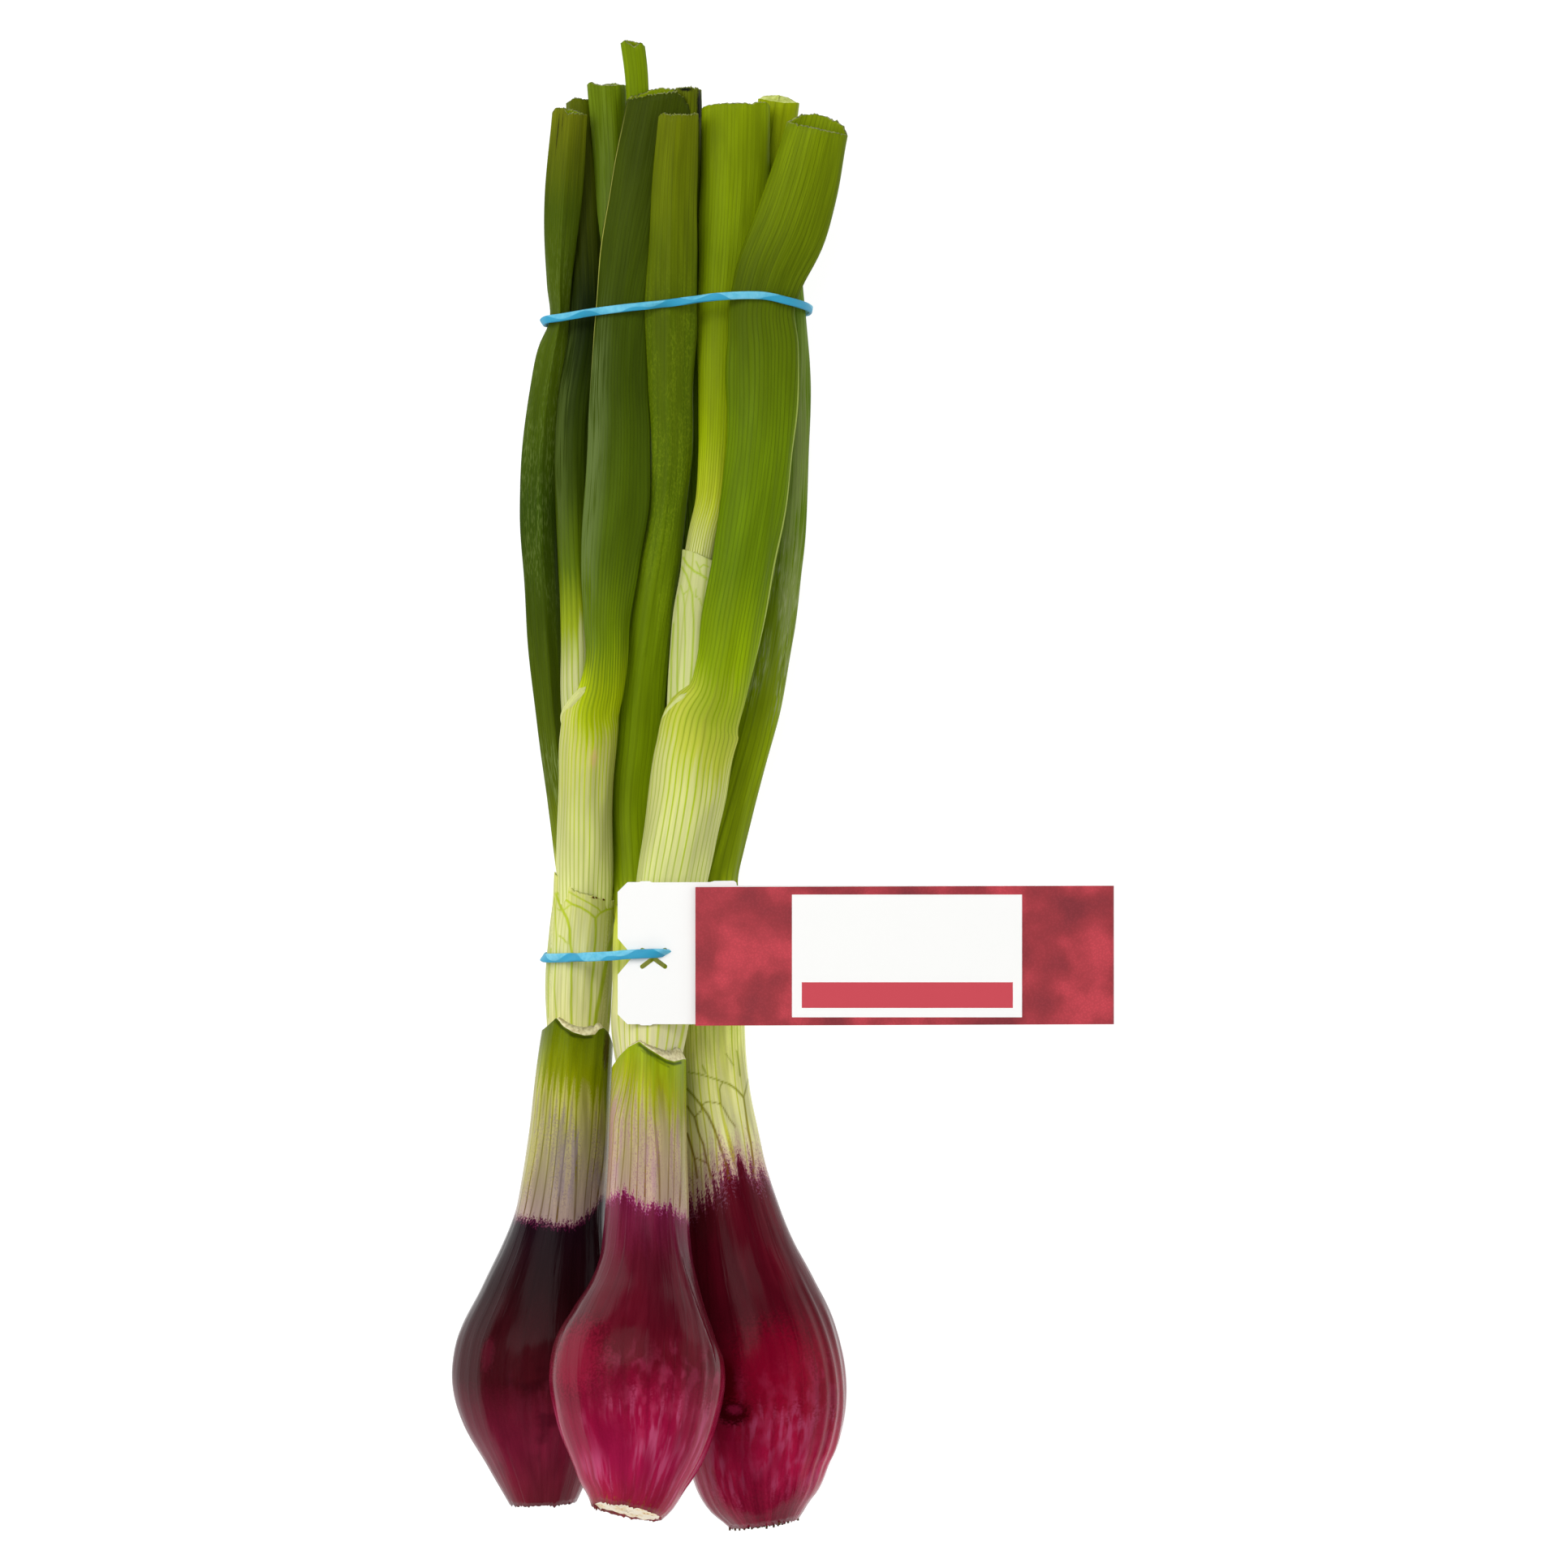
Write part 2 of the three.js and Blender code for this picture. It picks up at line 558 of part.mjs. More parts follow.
export default bunch;
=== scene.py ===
"""The looks of a bunch of three red spring onions, lying on a table as they are sold: bulbs, leaves, two
rubber bands and a folded card tag. Stations and outlines are in millimetres; +Y points to the leaf tips."""

import math

import bmesh
import bpy
import numpy as np
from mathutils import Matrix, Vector, noise


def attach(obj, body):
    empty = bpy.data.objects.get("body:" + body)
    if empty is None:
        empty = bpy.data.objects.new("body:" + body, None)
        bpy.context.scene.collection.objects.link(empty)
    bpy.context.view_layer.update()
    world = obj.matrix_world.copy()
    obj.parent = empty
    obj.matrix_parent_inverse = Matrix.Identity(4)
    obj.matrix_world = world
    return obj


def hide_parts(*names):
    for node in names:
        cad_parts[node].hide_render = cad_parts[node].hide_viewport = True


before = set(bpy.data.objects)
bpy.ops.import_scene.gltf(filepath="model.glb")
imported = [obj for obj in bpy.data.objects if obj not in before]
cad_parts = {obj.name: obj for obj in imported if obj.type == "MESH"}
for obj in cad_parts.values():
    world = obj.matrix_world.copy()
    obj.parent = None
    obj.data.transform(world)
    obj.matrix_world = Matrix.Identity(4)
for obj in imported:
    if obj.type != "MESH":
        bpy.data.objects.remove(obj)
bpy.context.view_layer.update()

# The left bulb.
# A red onion with a near black purple skin over its shoulder and a dark crimson foot. Bulb, neck and the
# outermost leaf, which is cut off in a collar, grew as one piece; its roots are cut off flush with the plate.
MM = 0.001
VEIN_RELIEF = 0.06  # how far veins stand out
BULB_STEP = 1.2  # between a bulb's rings
GOLDEN_ANGLE = 2.39996  # between one root and the next, in radians
# Stations run from the roots up: y, x, z, half width, half thickness.
LEFT_BULB = [
    [-154.8, -52.0, 19.5, 7.4, 7.4],
    [-152.1, -52.1, 19.5, 8.8, 8.8],
    [-146.0, -52.4, 19.3, 11.9, 11.9],
    [-137.3, -52.7, 19.0, 16.5, 16.5],
    [-128.6, -52.7, 18.8, 18.8, 18.8],
    [-124.2, -52.5, 18.8, 18.7, 18.7],
    [-119.8, -52.0, 18.5, 17.9, 17.9],
    [-111.1, -50.8, 17.9, 14.7, 14.7],
    [-102.4, -49.4, 17.0, 12.0, 12.0],
    [-93.7, -48.25, 16.0, 9.95, 9.95],
    [-86.9, -47.6, 15.2, 9.3, 9.2],
    [-76.3, -46.6, 14.2, 8.7, 8.6],
    [-66.3, -45.85, 13.6, 8.35, 8.3],
    [-53.8, -44.65, 13.2, 7.75, 7.7],
]


def smooth_step(value):
    t = np.clip(value, 0.0, 1.0)
    return t * t * (3 - 2 * t)


def through(stations, y):
    """Reads a smooth curve through the stations at each y: x, z, half width and half thickness."""
    table = np.array(stations)
    knots = table[:, 0]
    y = np.clip(y, knots[0] - 3.0, knots[-1] + 3.0)
    i = np.clip(np.searchsorted(knots, y) - 1, 0, len(knots) - 2)
    gap = knots[i + 1] - knots[i]
    t = (y - knots[i]) / gap
    curve = []
    for column in table.T[1:]:
        slope = np.gradient(column, knots)
        start = (1 + 2 * t) * (1 - t) ** 2 * column[i] + t * (1 - t) ** 2 * gap * slope[i]
        end = t * t * (3 - 2 * t) * column[i + 1] + t * t * (t - 1) * gap * slope[i + 1]
        curve.append(start + end)
    return curve


def place(stations, y, across, out, inset=0.0):
    """Points on a ring square to the way the piece grows. Across and out run from -1 to 1, and inset is how
    far in millimetres the ring lies under the outside."""
    y = np.broadcast_to(y, np.shape(across)).astype(float)
    x, z, wide, thick = through(stations, y)
    after = through(stations, y + 0.5)
    before = through(stations, y - 0.5)
    dx = after[0] - before[0]
    dz = after[1] - before[1]
    along = np.stack([dx, np.ones_like(dx), dz], axis=-1)
    along /= np.linalg.norm(along, axis=-1, keepdims=True)
    side = np.stack([np.ones_like(dx), -dx, np.zeros_like(dx)], axis=-1)
    side /= np.linalg.norm(side, axis=-1, keepdims=True)
    front = np.cross(side, along)
    centre = np.stack([x, y, z], axis=-1)
    reach = np.maximum(wide - inset, 0.05) * across
    rise = np.maximum(thick - inset, 0.05) * out
    return centre + side * reach[..., None] + front * rise[..., None]


def section(wide, thick, count, edge=0.0, keel=0.0, keel_at=0.0):
    """The outline of a section, evenly spaced from the middle of its back: across, out and the share of the
    way round from its front. Edge sharpens its two sides, and keel folds its front into a ridge."""
    turn = np.linspace(-math.pi, math.pi, 721)
    across = np.sin(turn)
    out = np.cos(turn) * np.abs(np.cos(turn)) ** edge
    ridge = np.minimum((across + 1) / (keel_at + 1), (1 - across) / (1 - keel_at))
    out = np.where(out > 0, (1 - keel) * out + keel * ridge, out)
    steps = np.hypot(np.diff(across) * wide, np.diff(out) * thick)
    arc = np.concatenate([[0.0], np.cumsum(steps)])
    reached = np.arange(count) / count * arc[-1]
    share = (reached - arc[360]) / arc[-1]
    return np.interp(reached, arc, across), np.interp(reached, arc, out), share


def sway(share, y, seed, around=2.2, along=16.0):
    """Slow unevenness of growth at points round a ring, from about -1 to 1."""
    turn = 2 * math.pi * share
    y = np.broadcast_to(y, share.shape)
    return np.array([
        2 * noise.noise(Vector((around * math.cos(a), around * math.sin(a), b / along + seed)))
        for a, b in zip(turn, y)
    ])


def strands(share, y):
    """What each point tells its material: the way round as cosine and sine, and y in millimetres."""
    turn = 2 * math.pi * share
    return np.stack([np.cos(turn), np.sin(turn), np.broadcast_to(y, share.shape)], axis=-1)


def loft(bm, rings, closed=False):
    """Extrudes a ring through a list of rings, each one points, strands and a material slot, and closes its
    two ends with faces or, for a band, on each other."""
    layer = bm.verts.layers.float_vector.get("strand") or bm.verts.layers.float_vector.new("strand")
    count = len(rings[0][0])
    ring = bmesh.ops.create_circle(bm, cap_ends=False, segments=count, radius=1.0)["verts"]
    for number, (points, marks, slot) in enumerate(rings):
        if number:
            edges = [bm.edges.get(pair) for pair in zip(ring, ring[1:] + ring[:1])]
            made = bmesh.ops.extrude_edge_only(bm, edges=edges)["geom"]
            fresh = {item for item in made if isinstance(item, bmesh.types.BMVert)}
            for face in (item for item in made if isinstance(item, bmesh.types.BMFace)):
                face.material_index = slot
            old = ring
            ring = [next(e.other_vert(v) for e in v.link_edges if e.other_vert(v) in fresh) for v in old]
        for vertex, point, mark in zip(ring, points, marks):
            vertex.co = Vector(point) * MM
            vertex[layer] = Vector(mark)
        if number == 0:
            first = ring
        if not closed and number in (0, len(rings) - 1):
            cap = bmesh.ops.contextual_create(bm, geom=ring)["faces"]
            cap[0].material_index = slot
    if closed:
        ends = [bm.edges.get(pair) for ends in (first, ring) for pair in zip(ends, ends[1:] + ends[:1])]
        bmesh.ops.bridge_loops(bm, edges=ends)


def draw_veins(bm, veins):
    """Marks the front of a piece with veins that branch: each is half its width and the points it runs
    through, as x and y."""
    layer = bm.verts.layers.float.new("thread")
    at = np.array([vertex.co[:] for vertex in bm.verts]) / MM
    found = np.zeros(len(at))
    for half_width, points in veins:
        points = np.array(points)
        for start, end in zip(points[:-1], points[1:]):
            run = end - start
            share = np.clip((at[:, :2] - start) @ run / (run @ run), 0, 1)
            far = np.linalg.norm(at[:, :2] - start - share[:, None] * run, axis=1)
            found = np.maximum(found, smooth_step((half_width + 0.16 - far) / 0.3))
    strand = bm.verts.layers.float_vector["strand"]
    for vertex, amount in zip(bm.verts, found):
        vertex[layer] = float(amount) if vertex[strand].x > 0.1 else 0.0


def raised_by(hem, across, y):
    """How far the colours of a piece are carried along it at each point, to end in a slanting hem."""
    shift = 0.0
    for level, reach, shifts in hem:
        window = np.clip(1.6 * (1 - np.abs(y - level) / reach), 0, 1)
        shift = shift + window * np.interp(across, *np.array(shifts).T)
    return shift


def bulb_rings(stations, rim, hem, seed, ridges=(), gather=0.0, count=144, fine=None):
    """Rings of a bulb from its root plate up to the collar, then down inside the collar. Ridges are edges of
    dry skin: where they start and end as across and y, how wide they are and how far they stand up. Gather is
    how far round, as a share, the veins on the left slant towards the highest point of the collar. Fine is
    where closer rings begin, for branching veins, and their spacing."""
    first, last = stations[0][0], stations[-1][0]
    across, out, share = section(1.0, 1.0, count)
    ribs = sway(share, 0.0, seed, around=7.0)
    rings = []
    for shrink, lift in ((0.05, -0.1), (0.4, 0.0), (0.75, 0.1), (0.9, 0.2)):
        points = place(stations, first + lift, across * shrink, out * shrink)
        rough = 0.25 * sway(share, shrink * 9, seed, around=5.0)
        points[:, 1] += rough
        rings.append((points, strands(share, first), 1))
    rows = np.arange(first, last, BULB_STEP)
    if fine:
        rows = np.append(rows[rows < fine[0]], np.arange(fine[0], last, fine[1]))
    rim_y = collar_y(stations, rim, across, out, last)
    for y in np.append(rows, last):
        weight = smooth_step((y - last + 22) / 22) ** 1.4
        level = y + weight * (rim_y - last)
        foot = smooth_step(1 - (y - first) / 5.0)
        level = level - foot * 0.5 * np.abs(sway(share, 0.0, seed + 5, around=9.0))
        girth = 1 + 0.004 * ribs + 0.012 * sway(share, y, seed)
        for (x0, y0), (x1, y1), wide, tall in ridges:
            middle = x0 + (x1 - x0) * (y - y0) / (y1 - y0)
            ends = smooth_step((y - min(y0, y1)) / 8) * smooth_step((max(y0, y1) - y) / 8)
            girth = girth + (out > 0) * ends * tall * smooth_step(1 - np.abs(across - middle) / wide)
        slant = gather * smooth_step((level - last + 17) / 17)
        slant = slant * smooth_step(-share / 0.18) * smooth_step((share + 0.5) / 0.2)
        marks = strands(share - slant, level - raised_by(hem, across, y))
        rings.append((place(stations, level, across * girth, out * girth), marks, 0))
    lip = rim_y + np.where(out > 0, np.interp(across, *np.array(rim["lip"]).T), 0.4)
    lip = lip + 0.12 * sway(share, 0.0, seed + 9, around=20.0)
    rings.append((place(stations, lip, across, out, inset=0.95), strands(share, rim_y), 2))
    for depth in (1.5, 4.0, 8.0):
        rings.append((place(stations, rim_y - depth, across, out, inset=1.0), strands(share, rim_y), 0))
    return rings


def collar_y(stations, rim, across, out, last):
    """How far along each point of a cut edge lies, so that the edge seen from the front follows the rim."""
    front = np.interp(across, *np.array(rim["front"]).T)
    back = np.interp(across, *np.array(rim["back"]).T)
    target = np.where(out >= 0, front, back)
    level = np.full(across.shape, float(last))
    for _ in range(4):
        level = level + target - place(stations, level, across, out)[:, 1]
    return level


def srgb(code):
    """A hex colour as linear red, green, blue and alpha."""
    parts = [int(code[i:i + 2], 16) / 255 for i in (1, 3, 5)]
    return [p / 12.92 if p <= 0.04045 else ((p + 0.055) / 1.055) ** 2.4 for p in parts] + [1.0]


def add(tree, kind, inputs, out=0, stops=None, **settings):
    """Adds a node, sets it up, links or fills its inputs and returns one of its outputs, if it has any."""
    node = tree.nodes.new("ShaderNode" + kind)
    for name, value in settings.items():
        setattr(node, name, value)
    if stops:
        elements = node.color_ramp.elements
        for _ in stops[2:]:
            elements.new(0.5)
        for element, (position, code) in zip(elements, stops):
            element.position = position
            element.color = srgb(code)
    for key, value in inputs.items():
        if isinstance(value, bpy.types.NodeSocket):
            tree.links.new(value, node.inputs[key])
        else:
            node.inputs[key].default_value = value
    return node.outputs[out] if node.outputs else None


def new_material(name):
    material = bpy.data.materials.new(name)
    material.use_nodes = True
    material.node_tree.nodes.clear()
    return material


# Settings that many nodes share.
SMOOTH = {"interpolation_type": "SMOOTHSTEP"}
TIMES = {"operation": "MULTIPLY"}
RGBA = {"out": 2, "data_type": "RGBA"}


def along_ramp(tree, stops, level):
    """A colour ramp whose stops are given in millimetres of y."""
    low, high = stops[0][0], stops[-1][0]
    share = add(tree, "MapRange", {0: level, 1: low, 2: high})
    return add(tree, "ValToRGB", {0: share}, stops=[((y - low) / (high - low), code) for y, code in stops])


def between(tree, level, low, high):
    """One between two levels, fading to nothing over the outer quarters."""
    soft = 0.25 * (high - low)
    begun = add(tree, "MapRange", {0: level, 1: low, 2: low + soft}, **SMOOTH)
    ended = add(tree, "MapRange", {0: level, 1: high, 2: high - soft}, **SMOOTH)
    return add(tree, "Math", {0: begun, 1: ended}, **TIMES)


def tissue(name, ground, girth, stripes=(), vein_shade=0.8, veins=24, vein_share=0.3, wander=0.8, wedge=2.0,
           taper=None, calm=None, finer=None, jag=1.5, speckle=0.0, grain=0.45, stretch=40, contrast=0.1,
           patches=0.12, roughness=0.45, gloss=0.07, threads=(), flecks=(), spots=(), bloom=None,
           edge_lines=()):
    """Living onion tissue, in millimetres; girth turns widths into shares of the way round. Ground is the
    flesh's colour by y. Veins are that colour shaded or, on a pale sheath, its stripes; threads colour the
    drawn ones. Wedge is how far each vein carries the colours: taper says from which level, how little there
    and up to which level, and none do above calm. Finer adds as many veins again, by an amount, between two
    levels. Jag and speckle fray the hems. A fleck is a colour, two levels, an amount, a width and a length. A
    spot is a colour, a share of the way round, a level, half its width and length, and an amount. Bloom is
    wax: a colour, an amount, where it lies across, its spread and two levels. An edge line is a colour, a
    share of the way round, half a width and two levels."""
    material = new_material(name)
    tree = material.node_tree
    strand = add(tree, "Attribute", {}, out=1, attribute_name="strand")
    cosine, sine, level = add(tree, "SeparateXYZ", {0: strand}).node.outputs
    radius = girth / (2 * math.pi)
    # Streaks, patches, grit and slow bends, then one for each kind of fleck.
    sizes = [(grain, stretch * grain, 3.0, 0.6), (5.0, 22.0, 2.0, 0.5), (0.3, 0.45, 2.0, 0.5),
             (8.0, 110.0, 1.0, 0.5)]
    sizes += [(wide, long, 2.0, 0.5) for *_, wide, long in flecks]
    fields = []
    for wide, long, detail, rough in sizes:
        spaced = add(tree, "VectorMath", {0: strand, 1: (radius / wide, radius / wide, 1 / long)}, **TIMES)
        fields.append(add(tree, "TexNoise", {"Vector": spaced, "Scale": 1.0, "Detail": detail,
                                             "Roughness": rough}))
    streak, patch, grit, bend = fields[:4]
    drift, jagged, specked, light, mottled, uneven, blurred = [
        add(tree, "MapRange", {0: source, 1: 0.3, 2: 0.7, 3: start, 4: end}, **SMOOTH)
        for source, start, end in (
            (bend, -wander * math.pi, wander * math.pi), (streak, -jag, jag), (grit, -speckle, speckle),
            (streak, 1 - contrast, 1 + contrast), (patch, 1 - patches, 1 + patches),
            (streak, roughness - 0.06, roughness + 0.08), (grit, -0.15, 0.15))
    ]
    angle = add(tree, "Math", {0: sine, 1: cosine}, operation="ARCTAN2")
    phase = add(tree, "Math", {0: angle, 1: float(veins), 2: drift}, operation="MULTIPLY_ADD")
    wave = add(tree, "Math", {0: phase}, operation="COSINE")
    reach = wedge
    if taper:
        low, least, high = taper
        reach = add(tree, "MapRange", {0: level, 1: low, 2: high, 3: least, 4: wedge}, **SMOOTH)
    if calm:
        fade = add(tree, "MapRange", {0: level, 1: calm, 2: calm - 8.0}, **SMOOTH)
        reach = add(tree, "Math", {0: reach, 1: fade}, **TIMES)
    height = add(tree, "Math", {0: wave, 1: reach, 2: level}, operation="MULTIPLY_ADD")
    for rough in (jagged, specked):
        height = add(tree, "Math", {0: height, 1: rough})
    flesh = along_ramp(tree, ground, height)
    vein = add(tree, "VectorMath", {0: flesh, "Scale": vein_shade}, operation="SCALE")
    if stripes:
        first, last = stripes[0][0], stripes[-1][0]
        begun = add(tree, "MapRange", {0: height, 1: first - 0.3, 2: first + 0.3}, **SMOOTH)
        ended = add(tree, "MapRange", {0: height, 1: last + 4, 2: last - 4}, **SMOOTH)
        striped = add(tree, "Math", {0: begun, 1: ended}, **TIMES)
        vein = add(tree, "Mix", {0: striped, 6: vein, 7: along_ramp(tree, stripes, height)}, **RGBA)
    crest = add(tree, "MapRange", {0: wave, 1: math.cos(math.pi * vein_share), 2: 1.0}, **SMOOTH)
    strength = add(tree, "MapRange", {0: patch, 1: 0.35, 2: 0.6, 3: 0.55, 4: 1.0}, **SMOOTH)
    vein_mask = add(tree, "Math", {0: crest, 1: strength}, **TIMES)
    if finer:
        amount, low, high = finer
        twice = add(tree, "Math", {0: phase, 1: 2.0}, **TIMES)
        twice = add(tree, "Math", {0: twice}, operation="COSINE")
        crest = add(tree, "MapRange", {0: twice}, **SMOOTH)
        share = add(tree, "MapRange", {0: level, 1: low, 2: high, 4: amount}, **SMOOTH)
        crest = add(tree, "Math", {0: crest, 1: share}, **TIMES)
        vein_mask = add(tree, "Math", {0: vein_mask, 1: crest}, operation="MAXIMUM")
    colour = add(tree, "Mix", {0: vein_mask, 6: flesh, 7: vein}, **RGBA)
    if threads:
        thread = add(tree, "Attribute", {}, out=2, attribute_name="thread")
        colour = add(tree, "Mix", {0: thread, 6: colour, 7: along_ramp(tree, threads, level)}, **RGBA)
    for (code, low, high, amount, *_), source in zip(flecks, fields[4:]):
        share = add(tree, "MapRange", {0: source, 1: 0.46, 2: 0.66, 4: amount}, **SMOOTH)
        gathered = add(tree, "MapRange", {0: patch, 1: 0.38, 2: 0.56}, **SMOOTH)
        for other in (gathered, between(tree, height, low, high)):
            share = add(tree, "Math", {0: share, 1: other}, **TIMES)
        colour = add(tree, "Mix", {0: share, 6: colour, 7: srgb(code)}, **RGBA)
    shade = add(tree, "Math", {0: light, 1: mottled}, **TIMES)
    colour = add(tree, "VectorMath", {0: colour, "Scale": shade}, operation="SCALE")
    for code, turn, y, half_width, half_length, amount in spots:
        at = add(tree, "CombineXYZ", {0: angle, 1: level})
        off = add(tree, "VectorMath", {0: at, 1: (turn * 2 * math.pi, y, 0)}, operation="SUBTRACT")
        off = add(tree, "VectorMath", {0: off, 1: (radius / half_width, 1 / half_length, 0)}, **TIMES)
        far = add(tree, "VectorMath", {0: off}, out=1, operation="LENGTH")
        far = add(tree, "Math", {0: far, 1: blurred})
        near = add(tree, "MapRange", {0: far, 1: 1.0, 2: 0.3, 4: amount}, **SMOOTH)
        colour = add(tree, "Mix", {0: near, 6: colour, 7: srgb(code)}, **RGBA)
    if bloom:
        code, amount, centre, spread, low, high = bloom
        gap = add(tree, "Math", {0: sine, 1: centre}, operation="SUBTRACT")
        gap = add(tree, "Math", {0: gap}, operation="ABSOLUTE")
        dust = add(tree, "MapRange", {0: gap, 1: 0.0, 2: spread, 3: 1.0, 4: 0.0}, **SMOOTH)
        rubbed = add(tree, "Math", {0: patch, 1: streak})
        rubbed = add(tree, "MapRange", {0: rubbed, 1: 0.8, 2: 1.1, 4: amount}, **SMOOTH)
        for other in (rubbed, between(tree, height, low, high)):
            dust = add(tree, "Math", {0: dust, 1: other}, **TIMES)
        colour = add(tree, "Mix", {0: dust, 6: colour, 7: srgb(code)}, **RGBA)
    for code, turn, half_width, low, high in edge_lines:
        gap = add(tree, "Math", {0: angle, 1: turn * 2 * math.pi}, operation="SUBTRACT")
        gap = add(tree, "Math", {0: gap}, operation="ABSOLUTE")
        thin = half_width / radius
        line = add(tree, "MapRange", {0: gap, 1: 0.3 * thin, 2: thin, 3: 0.9, 4: 0.0}, **SMOOTH)
        line = add(tree, "Math", {0: line, 1: between(tree, height, low, high)}, **TIMES)
        colour = add(tree, "Mix", {0: line, 6: colour, 7: srgb(code)}, **RGBA)
    raised = add(tree, "Math", {0: vein_mask, 1: 0.3, 2: streak}, operation="MULTIPLY_ADD")
    bump = add(tree, "Bump", {"Height": raised, "Strength": 1.0, "Distance": VEIN_RELIEF * MM})
    shader = add(tree, "BsdfPrincipled", {"Base Color": colour, "Roughness": uneven, "Normal": bump,
                                          "Specular IOR Level": gloss})
    add(tree, "OutputMaterial", {"Surface": shader})
    return material


def root_plate(name, dark, middle, light):
    """Cut root plate: dry, matt flesh with brown root scars, which sets off the glossy skin."""
    material = new_material(name)
    tree = material.node_tree
    place_at = add(tree, "TexCoord", {}, out=3)
    scar = add(tree, "TexVoronoi", {"Vector": place_at, "Scale": 700.0})
    spread = add(tree, "TexNoise", {"Vector": place_at, "Scale": 260.0, "Detail": 4.0})
    both = add(tree, "Math", {0: scar, 1: spread}, **TIMES)
    colour = add(tree, "ValToRGB", {"Fac": both}, stops=[(0.03, dark), (0.1, middle), (0.3, light)])
    bump = add(tree, "Bump", {"Height": both, "Strength": 1.0, "Distance": 0.0003})
    shader = add(tree, "BsdfPrincipled", {"Base Color": colour, "Roughness": 0.8, "Normal": bump})
    add(tree, "OutputMaterial", {"Surface": shader})
    return material


def root_stubs(bm, stations, count, longest, seed):
    """Stubs of the trimmed roots, spread over the plate in a spiral as they grow."""
    layer = bm.verts.layers.float_vector["strand"]
    turn = GOLDEN_ANGLE * np.arange(count)
    reach = 0.93 * np.sqrt((np.arange(count) + 0.5) / count)
    feet = place(stations, stations[0][0] + 0.5, reach * np.sin(turn), reach * np.cos(turn))
    for number, foot in enumerate(feet):
        lean = noise.noise_vector(Vector((number * 0.7, seed, 0.3)))
        length = longest * (0.45 + 0.55 * abs(math.sin(number * 1.7 + seed)))
        way = Vector((0.5 * lean.x, -1.0, 0.5 * lean.z)).normalized()
        stub = bmesh.ops.create_cone(bm, cap_ends=True, segments=6, radius1=0.42 * MM, radius2=0.24 * MM,
                                     depth=length * MM)["verts"]
        spin = way.to_track_quat("Z", "Y").to_matrix()
        for vertex in stub:
            vertex.co = spin @ vertex.co + (Vector(foot) + way * (0.5 * length - 0.4)) * MM
            vertex[layer] = (1, 0, foot[1])
            for face in vertex.link_faces:
                face.material_index = 3


def cut_leaf(name, light, dark):
    """Cut onion leaf: wet flesh dried to a pale, ragged edge, which draws each rim as a thin light line."""
    material = new_material(name)
    tree = material.node_tree
    place_at = add(tree, "TexCoord", {}, out=3)
    fibre = add(tree, "TexNoise", {"Vector": place_at, "Scale": 1400.0, "Detail": 3.0})
    colour = add(tree, "ValToRGB", {"Fac": fibre}, stops=[(0.35, dark), (0.6, light)])
    bump = add(tree, "Bump", {"Height": fibre, "Strength": 1.0, "Distance": 0.0001})
    shader = add(tree, "BsdfPrincipled", {"Base Color": colour, "Roughness": 0.6, "Normal": bump})
    add(tree, "OutputMaterial", {"Surface": shader})
    return material


def finish_piece(bm, node, materials):
    """Makes the finished mesh an object that stands for its node."""
    bmesh.ops.recalc_face_normals(bm, faces=bm.faces)
    for face in bm.faces:
        face.smooth = True
    mesh = bpy.data.meshes.new(node + "_grown")
    bm.to_mesh(mesh)
    bm.free()
    for material in materials:
        mesh.materials.append(material)
    piece = bpy.data.objects.new(node + "_grown", mesh)
    bpy.context.scene.collection.objects.link(piece)
    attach(piece, "root")
    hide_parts(node)
    return piece


def add_bulb(node, stations, rings, veins, stubs, longest, seed, materials):
    """A bulb: its rings, the veins drawn on it and the stubs of its roots."""
    onion = bmesh.new()
    loft(onion, rings)
    draw_veins(onion, veins)
    root_stubs(onion, stations, stubs, longest, seed)
    finish_piece(onion, node, materials)


# Dry root plate: cork brown and matt. Root stubs: darker and drier. Collar cut: papery, almost white.
DARK_PLATE = root_plate("brown_root_plate", "#1e0f08", "#4a2a18", "#8a6238")
ROOT_STUB = root_plate("dried_root_stub", "#120a06", "#2e1a10", "#5c3f22")
COLLAR_CUT = cut_leaf("dried_collar_cut", "#e2dab0", "#bdb080")
LEFT_RIM = {
    "front": [[-1.0, -53.4], [-0.62, -50.4], [-0.4, -52.2], [-0.1, -53.5], [0.22, -54.2], [0.5, -54.0],
              [0.6, -53.0], [0.72, -52.6], [0.86, -53.6], [1.0, -56.4]],
    "back": [[-1.0, -53.4], [0.0, -50.0], [1.0, -56.4]],
    "lip": [[-1.0, 0.5], [-0.65, 0.4], [-0.4, 1.2], [0.0, 1.9], [0.4, 2.1], [0.6, 1.4], [0.8, 0.5],
            [1.0, 0.4]],
}
# What skin over a bulb has that leaves have not: a waxy shine, and short fibres close together.
SKIN = {"wander": 1.2, "grain": 0.6, "stretch": 16, "contrast": 0.08, "roughness": 0.17, "gloss": 0.13}
